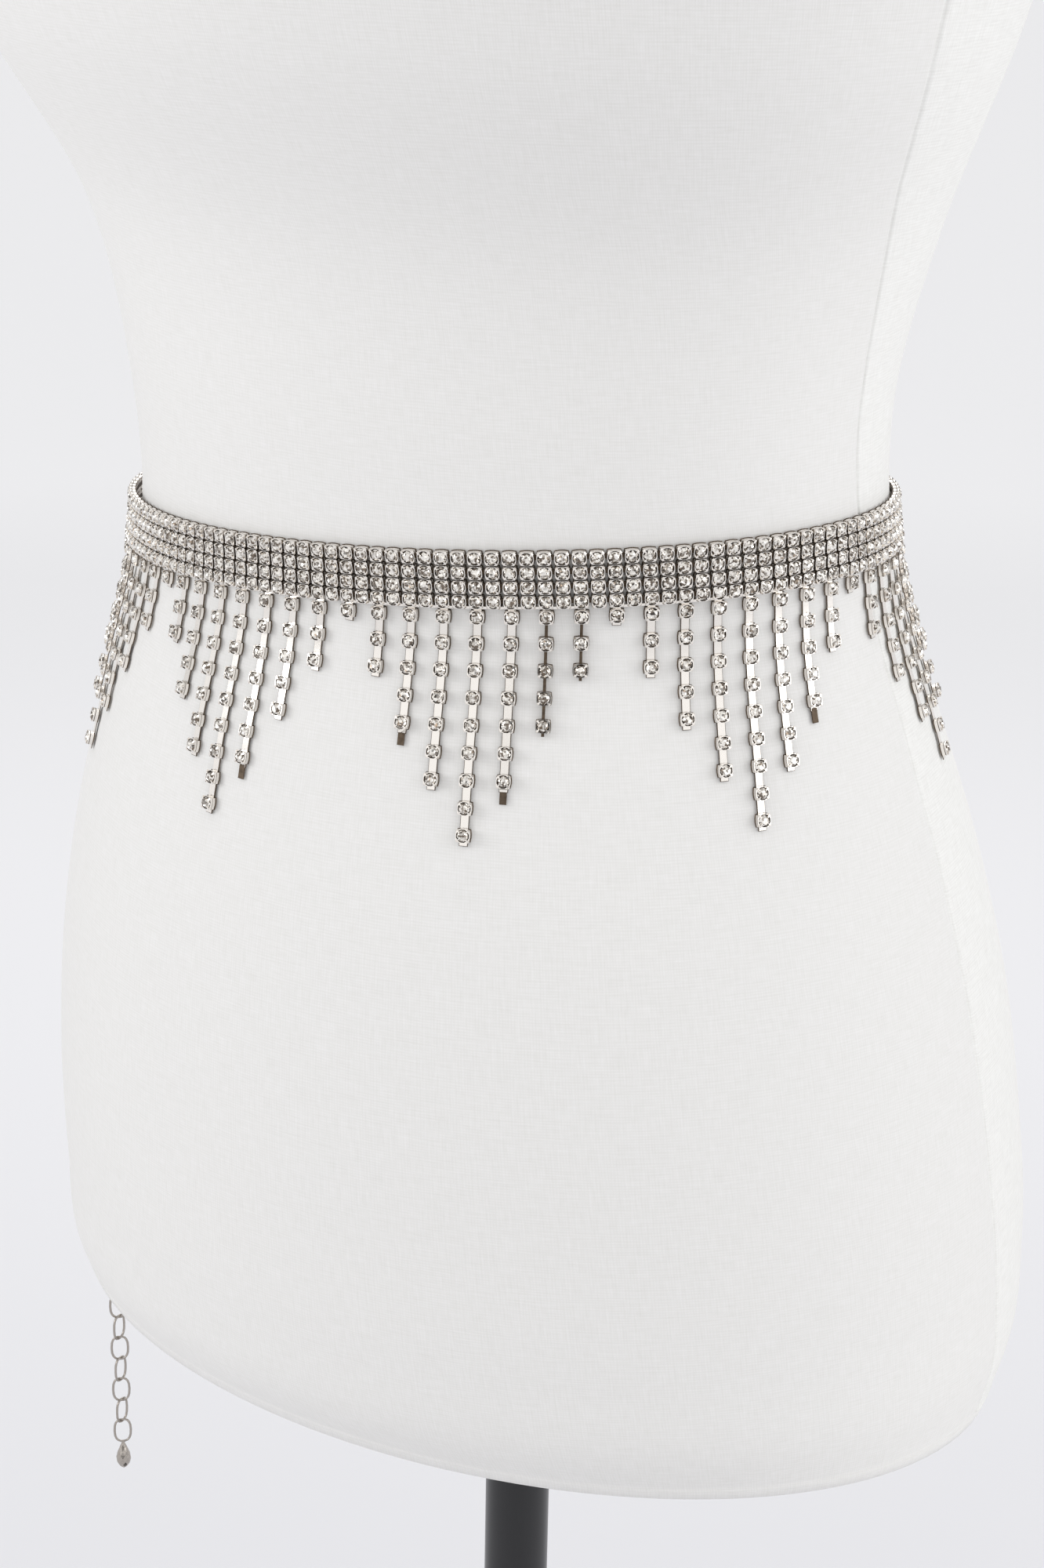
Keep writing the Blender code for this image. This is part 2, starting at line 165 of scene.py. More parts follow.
def add_piece(
    name: str,
    shell: Shell,
    materials: list[bpy.types.Material],
    nodes: tuple[str, ...] = (),
    smooth: bool = False,
    kinds: Array | None = None,
) -> bpy.types.Object:
    """Makes one piece at the origin, rides it on the root body and hides the solids that it stands for.

    Args:
        name: The piece's name.
        shell: Its mesh.
        materials: One material, or several that kinds picks from.
        nodes: Solids that it replaces.
        smooth: Whether its faces are shaded smooth.
        kinds: The material number of each face.

    Returns:
        The new object.
    """
    mesh = bpy.data.meshes.new(name)
    loops = np.concatenate([part.reshape(-1) for part in shell.faces])
    sizes = np.concatenate([np.full(len(part), part.shape[1]) for part in shell.faces])
    starts = np.concatenate([[0], np.cumsum(sizes)[:-1]])
    mesh.vertices.add(len(shell.points))
    mesh.vertices.foreach_set("co", shell.points.astype(np.float32).reshape(-1))
    mesh.loops.add(len(loops))
    mesh.loops.foreach_set("vertex_index", loops.astype(np.int32))
    mesh.polygons.add(len(sizes))
    mesh.polygons.foreach_set("loop_start", starts.astype(np.int32))
    mesh.polygons.foreach_set("loop_total", sizes.astype(np.int32))
    mesh.polygons.foreach_set("use_smooth", np.full(len(sizes), smooth))
    if kinds is not None:
        mesh.polygons.foreach_set("material_index", kinds.astype(np.int32))
    if shell.across is not None:
        layer = mesh.uv_layers.new(name="surface")
        layer.data.foreach_set("uv", shell.across[loops].astype(np.float32).reshape(-1))
    mesh.update(calc_edges=True)
    mesh.validate()
    for material in materials:
        mesh.materials.append(material)
    piece = bpy.data.objects.new(name, mesh)
    bpy.context.scene.collection.objects.link(piece)
    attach(piece, Body.ROOT.value)
    if nodes:
        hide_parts(*nodes)
    LOG.info("%s: %d faces", name, len(sizes))
    return piece


# Finishes


def linear(code: str) -> tuple[float, float, float, float]:
    """An sRGB hex colour as linear red, green, blue and alpha.

    Args:
        code: Six hex digits.

    Returns:
        Four numbers from 0 to 1.
    """
    parts = [int(code[place : place + 2], 16) / 255 for place in (0, 2, 4)]
    curve = [part / 12.92 if part <= 0.04045 else ((part + 0.055) / 1.055) ** 2.4 for part in parts]
    return (curve[0], curve[1], curve[2], 1.0)


def add_node(
    owner: bpy.types.Material | bpy.types.World,
    kind: str,
    settings: dict[str, Any] | None = None,
    **inputs: Any,
) -> bpy.types.Node:
    """Adds one shader node with its settings, socket values and links.

    Args:
        owner: The material or world that gets it.
        kind: Blender's name of the node's class.
        settings: Attributes of the node.
        **inputs: Socket values or links, named as the socket is, with _ for a space. s0 is socket number 0.

    Returns:
        The node.
    """
    node = owner.node_tree.nodes.new(kind)
    for key, value in (settings or {}).items():
        setattr(node, key, value)
    for key, value in inputs.items():
        number = key[1:] if key[0] == "s" and key[1:].isdigit() else None
        socket = node.inputs[int(number)] if number else node.inputs[key.replace("_", " ")]
        if isinstance(value, bpy.types.NodeSocket):
            owner.node_tree.links.new(value, socket)
        else:
            socket.default_value = value
    return node


def blank_material(name: str) -> bpy.types.Material:
    """A material with an empty node tree.

    Args:
        name: Its name.

    Returns:
        The material.
    """
    material = bpy.data.materials.new(name)
    material.use_nodes = True
    material.node_tree.nodes.clear()
    return material


def close_material(material: bpy.types.Material, shader: bpy.types.Node) -> bpy.types.Material:
    """Joins a surface shader to the material's output.

    Args:
        material: The material.
        shader: Its last shader.

    Returns:
        The material.
    """
    add_node(material, "ShaderNodeOutputMaterial", Surface=shader.outputs[0])
    return material


@dataclass(frozen=True)
class WovenLinen:
    """Plain-woven linen stretched over the form: a matte off-white cloth whose threads just show.

    The threads are drawn 0.9 mm apart, about twice as coarse as fine linen, so that they show in the render.

    Attributes:
        cloth: Colour of the front panel's threads.
        back_cloth_painted_light: Colour of the cloth behind the side seams, painted paler than the front:
            painted light from the side lights.
        shade: Colour between the threads.
        front_middle: Place of the front's middle on the surface map.
        front_half: Half the front panel's width on the surface map.
        thread: Distance between threads.
        depth: Height of the threads.
        evenness: Share of the plain weave beside that of the slubs.
        slubs: Slubs a metre along each way of the map, for each set of threads: about 0.8 by 8 mm each.
        tones: Heights at which a thread takes the shade and the cloth's own colour.
    """

    cloth: str = "EEEDEC"
    back_cloth_painted_light: str = "F6F6F4"
    shade: str = "E2E1DE"
    front_middle: float = 1.5 * math.pi * MAP_RADIUS
    front_half: float = 0.5 * math.pi * MAP_RADIUS
    thread: float = 0.9 * MM
    depth: float = 0.05 * MM
    evenness: float = 0.35
    slubs: tuple[tuple[float, float, float], ...] = ((1300.0, 130.0, 1.0), (110.0, 1500.0, 1.0))
    tones: tuple[float, float] = (0.55, 1.65)

    def build(self) -> bpy.types.Material:
        """Two crossed sets of threads from the surface map, with slubs, and painted light behind the seams:
        the side and back panels are painted paler.

        A thread's height is the size of a sine of its place over the thread distance, the weave is the two
        sets' heights multiplied, and a noise drawn out along each set is added.

        Returns:
            The cloth.
        """
        material = blank_material("woven_linen")
        place = add_node(material, "ShaderNodeUVMap", {"uv_map": "surface"})
        turns = 2 * math.pi / self.thread / 2
        split = add_node(material, "ShaderNodeSeparateXYZ", Vector=place.outputs[0])
        threads = []
        for axis in (0, 1):
            scaled = add_node(
                material, "ShaderNodeMath", {"operation": "MULTIPLY"}, s0=split.outputs[axis], s1=turns
            )
            wave = add_node(material, "ShaderNodeMath", {"operation": "SINE"}, s0=scaled.outputs[0])
            thread = add_node(material, "ShaderNodeMath", {"operation": "ABSOLUTE"}, s0=wave.outputs[0])
            threads.append(thread)
        weave = add_node(
            material,
            "ShaderNodeMath",
            {"operation": "MULTIPLY"},
            s0=threads[0].outputs[0],
            s1=threads[1].outputs[0],
        )
        noises = []
        for scale in self.slubs:
            drawn_out = add_node(
                material, "ShaderNodeMapping", {"vector_type": "POINT"}, Vector=place.outputs[0], Scale=scale
            )
            noise = add_node(
                material,
                "ShaderNodeTexNoise",
                Vector=drawn_out.outputs[0],
                Scale=1.0,
                Detail=2.0,
                Roughness=0.6,
            )
            noises.append(noise)
        both = add_node(
            material,
            "ShaderNodeMath",
            {"operation": "ADD"},
            s0=noises[0].outputs["Fac"],
            s1=noises[1].outputs["Fac"],
        )
        height = add_node(
            material,
            "ShaderNodeMath",
            {"operation": "MULTIPLY_ADD"},
            s0=weave.outputs[0],
            s1=self.evenness,
            s2=both.outputs[0],
        )
        tone = add_node(
            material,
            "ShaderNodeMapRange",
            Value=height.outputs[0],
            From_Min=self.tones[0],
            From_Max=self.tones[1],
        )
        # Painted light: behind the side seams the cloth is painted paler, as if lit by the side lights.
        ahead = add_node(
            material,
            "ShaderNodeMath",
            {"operation": "COMPARE"},
            s0=split.outputs[0],
            s1=self.front_middle,
            s2=self.front_half,
        )
        panel = add_node(
            material,
            "ShaderNodeMix",
            {"data_type": "RGBA"},
            s0=ahead.outputs[0],
            s6=linear(self.back_cloth_painted_light),
            s7=linear(self.cloth),
        )
        colour = add_node(
            material,
            "ShaderNodeMix",
            {"data_type": "RGBA"},
            s0=tone.outputs[0],
            s6=linear(self.shade),
            s7=panel.outputs[2],
        )
        bump = add_node(
            material, "ShaderNodeBump", Height=height.outputs[0], Strength=0.25, Distance=self.depth
        )
        shader = add_node(
            material,
            "ShaderNodeBsdfPrincipled",
            Base_Color=colour.outputs[2],
            Normal=bump.outputs[0],
            Roughness=0.92,
            Sheen_Weight=0.15,
            Sheen_Roughness=0.5,
            Specular_IOR_Level=0.25,
        )
        return close_material(material, shader)


@dataclass(frozen=True)
class SilverPlate:
    """Stamped brass plated bright silver: a mirror gloss with fine tumbling marks that blur it a little.

    Attributes:
        name: The material's name.
        tint: Colour of its mirror.
        roughness: Its middle roughness.
        spread: Least and greatest roughness, as shares of the middle one.
        grain: Size of a tumbling mark.
        relief: Height of a mark.
    """

    name: str = "silver_plated_brass"
    tint: str = "F4EFE9"
    roughness: float = 0.16
    spread: tuple[float, float] = (0.7, 1.5)
    grain: float = 0.35 * MM
    relief: float = 0.03 * MM

    def build(self) -> bpy.types.Material:
        """A metal whose gloss and relief vary with a fine noise.

        Returns:
            The plated metal.
        """
        material = blank_material(self.name)
        place = add_node(material, "ShaderNodeTexCoord")
        grain = add_node(
            material,
            "ShaderNodeTexNoise",
            Vector=place.outputs["Object"],
            Scale=1 / self.grain,
            Detail=2.0,
            Roughness=0.5,
        )
        gloss = add_node(
            material,
            "ShaderNodeMapRange",
            Value=grain.outputs["Fac"],
            To_Min=self.roughness * self.spread[0],
            To_Max=self.roughness * self.spread[1],
        )
        bump = add_node(
            material, "ShaderNodeBump", Height=grain.outputs["Fac"], Strength=0.12, Distance=self.relief
        )
        shader = add_node(
            material,
            "ShaderNodeBsdfPrincipled",
            Base_Color=linear(self.tint),
            Metallic=1.0,
            Roughness=gloss.outputs[0],
            Normal=bump.outputs[0],
        )
        return close_material(material, shader)


@dataclass(frozen=True)
class TarnishAndShadeSilver:
    """Dark plate, thicker in patches: partly brown-black sulphide that polishing never reaches, partly
    painted shade in the recesses, gaps and under the parts.

    Attributes:
        dark: Colour where it is thick.
        light: Colour where it is thin.
        patch: Size of a patch.
        relief: Height of a patch.
    """

    dark: str = "362C24"
    light: str = "776858"
    patch: float = 1.2 * MM
    relief: float = 0.04 * MM

    def build(self) -> bpy.types.Material:
        """A dull metal that goes between two browns with a fine noise.

        Returns:
            The tarnished metal.
        """
        material = blank_material("tarnish_and_painted_shade_plate")
        place = add_node(material, "ShaderNodeTexCoord")
        patch = add_node(
            material, "ShaderNodeTexNoise", Vector=place.outputs["Object"], Scale=1 / self.patch, Detail=2.0
        )
        tone = add_node(
            material,
            "ShaderNodeMix",
            {"data_type": "RGBA"},
            s0=patch.outputs["Fac"],
            s6=linear(self.dark),
            s7=linear(self.light),
        )
        bump = add_node(
            material, "ShaderNodeBump", Height=patch.outputs["Fac"], Strength=0.2, Distance=self.relief
        )
        shader = add_node(
            material,
            "ShaderNodeBsdfPrincipled",
            Base_Color=tone.outputs[2],
            Metallic=0.8,
            Roughness=0.5,
            Normal=bump.outputs[0],
        )
        return close_material(material, shader)


@dataclass(frozen=True)
class FoiledCrystal:
    """Cut crystal with a silver foil back, whose back facets are painted on the front as a fine mosaic of
    painted reflections.

    Attributes:
        tint: Colour of a facet painted as sending back the room, a painted reflection.
        shade: Colour of a facet painted as sending back its neighbours, a painted dark reflection.
        facet: Size of a back facet.
        tilt: How far the back facets turn away from the front ones.
        choice: A facet's random number is shade up to the first of these and tint from the second.
    """

    tint: str = "F9F5EE"
    shade: str = "6A5D50"
    facet: float = 0.65 * MM
    tilt: float = 0.55
    choice: tuple[float, float] = (0.15, 0.60)

    def build(self) -> bpy.types.Material:
        """Cells with a tilt and a painted reflection of their own, bright or dark, under a clear gloss.

        Returns:
            The foiled crystal.
        """
        material = blank_material("foiled_crystal")
        place = add_node(material, "ShaderNodeTexCoord")
        cells = add_node(
            material, "ShaderNodeTexVoronoi", Vector=place.outputs["Object"], Scale=1 / self.facet
        )
        split = add_node(material, "ShaderNodeSeparateColor", Color=cells.outputs["Color"])
        choice = add_node(
            material,
            "ShaderNodeMapRange",
            Value=split.outputs[0],
            From_Min=self.choice[0],
            From_Max=self.choice[1],
        )
        tone = add_node(
            material,
            "ShaderNodeMix",
            {"data_type": "RGBA"},
            s0=choice.outputs[0],
            s6=linear(self.shade),
            s7=linear(self.tint),
        )
        lean = add_node(
            material,
            "ShaderNodeVectorMath",
            {"operation": "MULTIPLY_ADD"},
            s0=cells.outputs["Color"],
            s1=(self.tilt, self.tilt, self.tilt),
            s2=(-self.tilt / 2, -self.tilt / 2, -self.tilt / 2),
        )
        front = add_node(material, "ShaderNodeNewGeometry")
        turned = add_node(
            material,
            "ShaderNodeVectorMath",
            {"operation": "ADD"},
            s0=front.outputs["Normal"],
            s1=lean.outputs[0],
        )
        normal = add_node(material, "ShaderNodeVectorMath", {"operation": "NORMALIZE"}, s0=turned.outputs[0])
        shader = add_node(
            material,
            "ShaderNodeBsdfPrincipled",
            Base_Color=tone.outputs[2],
            Metallic=0.9,
            Roughness=0.06,
            Normal=normal.outputs[0],
            Coat_Weight=1.0,
            Coat_Roughness=0.02,
        )
        return close_material(material, shader)


@dataclass(frozen=True)
class BlackEnamel:
    """Steel with baked black enamel: a dark coat whose faint orange peel spreads its highlights.

    Attributes:
        tint: Colour of the coat.
        peel: Size of a bump of the orange peel.
        relief: Height of a bump.
    """

    tint: str = "17171A"
    peel: float = 2.5 * MM
    relief: float = 0.05 * MM

    def build(self) -> bpy.types.Material:
        """A dark gloss with a wide low bump.

        Returns:
            The enamel.
        """
        material = blank_material("black_enamelled_steel")
        place = add_node(material, "ShaderNodeTexCoord")
        peel = add_node(
            material, "ShaderNodeTexNoise", Vector=place.outputs["Object"], Scale=1 / self.peel, Detail=1.0
        )
        bump = add_node(
            material, "ShaderNodeBump", Height=peel.outputs["Fac"], Strength=0.1, Distance=self.relief
        )
        shader = add_node(
            material,
            "ShaderNodeBsdfPrincipled",
            Base_Color=linear(self.tint),
            Roughness=0.28,
            Normal=bump.outputs[0],
        )
        return close_material(material, shader)


@dataclass(frozen=True)
class StudioPaper:
    """Matte studio paper, pale and faintly cool, with painted shade and a painted glow: darker round the
    stand than far off.

    Attributes:
        far: Colour beyond the graded part.
        near: Colour round the stand, darker as painted shade.
        start: Distance from the stand where it starts to get lighter.
        reach: Distance where the grading ends.
        glow: Painted light: the paper's own faint emission, with no lamp under it.
    """

    far: str = "FAFAFC"
    near: str = "CECED2"
    start: float = 0.5
    reach: float = 4.0
    glow: float = 0.18

    def build(self) -> bpy.types.Material:
        """A matte surface whose colour goes by the distance from the stand, as painted shade, and which gives
        off a faint painted glow.

        Returns:
            The paper.
        """
        material = blank_material("paper_painted_shade_and_glow")
        place = add_node(material, "ShaderNodeTexCoord")
        away = add_node(material, "ShaderNodeVectorMath", {"operation": "LENGTH"}, s0=place.outputs["Object"])
        painted_shade_fade = add_node(
            material,
            "ShaderNodeMapRange",
            Value=away.outputs["Value"],
            From_Min=self.start,
            From_Max=self.reach,
        )
        tone = add_node(
            material,
            "ShaderNodeMix",
            {"data_type": "RGBA"},
            s0=painted_shade_fade.outputs[0],
            s6=linear(self.near),
            s7=linear(self.far),
        )
        shader = add_node(
            material,
            "ShaderNodeBsdfPrincipled",
            Base_Color=tone.outputs[2],
            Roughness=0.95,
            Specular_IOR_Level=0.1,
            Emission_Color=linear(self.far),
            Emission_Strength=self.glow,
        )
        return close_material(material, shader)


# The form and the ring that the belt follows


@dataclass
class DressForm:
    """The limbless torso: ellipses at named levels, joined by a smooth curve.

    Attributes:
        sections: Rows of height, half width, half depth and centre y, in metres.
        map_radius: Radius by which a ring angle becomes a length on the surface map.
        rim_round: Size of the lower edge's rounding.
        rim_rows: Rows of that rounding, each a height and an inset as shares of it.
        neck_dome: Height of the plain dome on the neck.
        dome_rows: Heights of the dome's rings as shares of it.
        seam_path: Rows of height in metres and how many degrees the side seams lie ahead of the sides.
        seam_depth: Depth of a sewn groove.
        seam_width: Half the groove's width where it is about a third of its depth.
        seam_reach: Distance to each side of a seam that has finer steps.
        seam_steps: Number of those steps.
        binding: Height of the bound lower edge.
        binding_proud: How far the binding stands out, and half the height over which it does so.
        sides: Steps round the form, without the seams' own.
        levels: Rows above the binding.
        under_size: Size of the flat underside as a share of the lowest section.
        hub_size: Size of the ring that closes it, as a share too.
        settles: Times that a point is put back on the form after each step over it.
    """

    sections: tuple[tuple[float, float, float, float], ...] = (
        (0.717, 0.1718, 0.1130, -0.0005),
        (0.736, 0.1757, 0.1340, 0.0060),
        (0.765, 0.1748, 0.1455, 0.0088),
        (0.810, 0.1715, 0.1465, 0.0042),
        (0.860, 0.1645, 0.1430, -0.0010),
        (0.910, 0.1530, 0.1330, -0.0070),
        (0.955, 0.1395, 0.1185, -0.0120),
        (1.000, 0.1262, 0.1025, -0.0168),
        (1.055, 0.1240, 0.0994, -0.0238),
        (1.110, 0.1362, 0.1070, -0.0262),
        (1.170, 0.1610, 0.1265, -0.0425),
        (1.225, 0.1760, 0.1370, -0.0460),
        (1.270, 0.1795, 0.1300, -0.0405),
        (1.315, 0.1800, 0.1140, -0.0300),
        (1.350, 0.1770, 0.0960, -0.0220),
        (1.385, 0.1530, 0.0790, -0.0170),
        (1.412, 0.1130, 0.0680, -0.0150),
        (1.436, 0.0800, 0.0610, -0.0160),
        (1.460, 0.0630, 0.0575, -0.0190),
        (1.490, 0.0570, 0.0560, -0.0220),
        (1.515, 0.0555, 0.0550, -0.0230),
    )
    map_radius: float = MAP_RADIUS
    rim_round: float = 4.0 * MM
    rim_rows: tuple[tuple[float, float], ...] = ((0.0, 0.9), (0.3, 0.25), (1.0, 0.0))
    neck_dome: float = 10.0 * MM
    dome_rows: tuple[float, ...] = (0.35, 0.7, 0.92, 0.995)
    seam_path: tuple[tuple[float, float], ...] = (
        (0.717, 1.0),
        (0.850, 3.0),
        (0.930, 2.5),
        (1.000, 2.5),
        (1.070, 7.0),
        (1.130, 13.5),
        (1.200, 17.0),
        (1.300, 12.0),
        (1.400, 0.0),
        (1.515, 0.0),
    )
    seam_depth: float = 0.9 * MM
    seam_width: float = 0.8 * MM
    seam_reach: float = 5.0 * MM
    seam_steps: int = 21
    binding: float = 5.0 * MM
    binding_proud: float = 0.5 * MM
    sides: int = 128
    levels: int = 170
    under_size: float = 0.9
    hub_size: float = 0.02
    settles: int = 3

    def section(self, height: Array) -> tuple[Array, Array, Array]:
        """Half width, half depth and centre y at any height.

        Between two rows of the table each is the cubic that has the rows' values and the table's slopes
        there.

        Args:
            height: Heights in metres.

        Returns:
            Three arrays of the same shape.
        """
        table = np.array(self.sections)
        level = table[:, 0]
        height = np.clip(np.asarray(height, float), level[0], level[-1])
        place = np.clip(np.searchsorted(level, height, side="right") - 1, 0, len(level) - 2)
        span = level[place + 1] - level[place]
        share = (height - level[place]) / span
        found = []
        for column in (1, 2, 3):
            value = table[:, column]
            slope = np.gradient(value, level)
            start, end = value[place], value[place + 1]
            lean, after = slope[place] * span, slope[place + 1] * span
            cubic = 2 * start - 2 * end + lean + after
            square = -3 * start + 3 * end - 2 * lean - after
            found.append(((cubic * share + square) * share + lean) * share + start)
        return found[0], found[1], found[2]

    def miss(self, points: Array) -> Array:
        """How far outside or inside the form each point is: its ellipse's sum of squares less one."""
        wide, deep, centre = self.section(points[..., 2])
        return (points[..., 0] / wide) ** 2 + ((points[..., 1] - centre) / deep) ** 2 - 1

    def normal(self, points: Array) -> tuple[Array, Array]:
        """Outward unit normals at points: the gradient of how far outside they are, scaled to length one.

        Args:
            points: Points near the form.

        Returns:
            The normals and the gradient's size.
        """
        step = 0.5 * MM
        moves = np.eye(3) * step
        slope = np.stack(
            [(self.miss(points + move) - self.miss(points - move)) / (2 * step) for move in moves], axis=-1
        )
        size = np.linalg.norm(slope, axis=-1, keepdims=True)
        return slope / size, size

    def walk_down(self, start: Array, steps: int, step: float) -> tuple[Array, Array, Array]:
        """Paths of steepest descent over the form.

        Each step goes along gravity less its part along the normal, and the point is then put back on the
        form.

        Args:
            start: An (N, 3) array of first points.
            steps: Steps to take.
            step: Length of one step.

        Returns:
            Points, normals and directions, each (steps + 1, N, 3).
        """
        point = np.array(start, float)
        path, normals, ways = [], [], []
        for _ in range(steps + 1):
            for _ in range(self.settles):
                normal, size = self.normal(point)
                point = point - normal * self.miss(point)[:, None] / size
            down = unit_rows(normal * normal[:, 2:3] - np.array([0.0, 0.0, 1.0]))
            path.append(point)
            normals.append(normal)
            ways.append(down)
            point = point + down * step
        return np.array(path), np.array(normals), np.array(ways)

    def shell(self) -> Shell:
        """The form's skin: a grid of ring angle by height, with grooves where its panels are sewn.

        A point is the section's ellipse at its angle, moved in along the section's normal by a bell-shaped
        groove at each side seam and at the back seam, and out by the binding at the lower edge. The grid
        starts and ends at the back seam, and its angles are moved ahead by the seams' lead times the cosine,
        so that both side seams follow their path. The map holds the length round the widest section and the
        height.

        Returns:
            A closed shell with a surface map.
        """
        back = math.pi / 2
        seams = np.array([0.5, 1.0, 2.0, 2.5]) * math.pi
        fine = np.linspace(-self.seam_reach, self.seam_reach, self.seam_steps) / self.map_radius
        plain = np.linspace(back, back + 2 * math.pi, self.sides, endpoint=False)
        around = np.unique(np.round(np.concatenate([plain] + [seam + fine for seam in seams]), 5))
        around = around[(around >= back - 1e-4) & (around < back + 2 * math.pi - 1e-3)]
        low, high = self.sections[0][0], self.sections[-1][0]
        rim = np.array(self.rim_rows) * self.rim_round
        bound = low + self.binding
        step_out = bound + np.array([-1.0, 0.0, 1.0]) * self.binding_proud
        skin = np.linspace(bound + 4 * self.binding_proud, high, self.levels)
        heights = np.concatenate([low + rim[:, 0], step_out, skin])
        wide, deep, centre = self.section(np.maximum(heights, low + self.rim_round))
        inset = np.concatenate([rim[:, 1], np.zeros(len(heights) - len(rim))])
        in_binding = heights < bound + 0.2 * self.binding_proud
        proud = np.where(in_binding, self.binding_proud, 0.0) - inset
        path = np.array(self.seam_path)
        lead = np.radians(np.interp(heights, path[:, 0], path[:, 1]))
        angle = around[None, :] - lead[:, None] * np.cos(around)[None, :]
        x = wide[:, None] * np.cos(angle)
        y = deep[:, None] * np.sin(angle)
        out = unit_rows(np.stack([np.cos(angle) / wide[:, None], np.sin(angle) / deep[:, None]], axis=-1))
        bell = sum(np.exp(-(((around - seam) * self.map_radius / self.seam_width) ** 2)) for seam in seams)
        move = proud[:, None] - self.seam_depth * bell[None, :] * np.where(in_binding, 0.0, 1.0)[:, None]
        x, y = x + out[..., 0] * move, y + out[..., 1] * move + centre[:, None]
        z = np.broadcast_to(heights[:, None], x.shape)
        body = np.stack([x, y, z], axis=-1)
        share = np.array(self.dome_rows)
        small = np.sqrt(1 - share**2)
        cap_x = small[:, None] * wide[-1] * np.cos(around)
        cap_y = small[:, None] * deep[-1] * np.sin(around) + centre[-1]
        cap_z = np.broadcast_to((high + self.neck_dome * share)[:, None], cap_x.shape)
        cap = np.stack([cap_x, cap_y, cap_z], axis=-1)
        under = [
            body[0] * np.array([size, size, 1.0]) + np.array([0.0, centre[0] * (1 - size), 0.0])
            for size in (self.hub_size, self.under_size)
        ]
        points = np.concatenate([np.stack(under), body, cap]).reshape(-1, 3)
        rows = len(under) + len(heights) + len(share)
        columns = len(around)
        faces = [grid_faces(rows, columns, True)]
        ends = (np.arange(columns)[::-1], np.arange(columns) + (rows - 1) * columns)
        faces += [end[None] for end in ends]
        length = np.broadcast_to(around * self.map_radius, (rows, columns)).reshape(-1)
        across = np.stack([length, points[:, 2]], axis=-1)
        return Shell(points, faces, across)

    def build(self, cloth: bpy.types.Material) -> None:
        """Adds the form's skin in its cloth."""
        add_piece("torso_linen", self.shell(), [cloth], ("torso_form",), smooth=True)


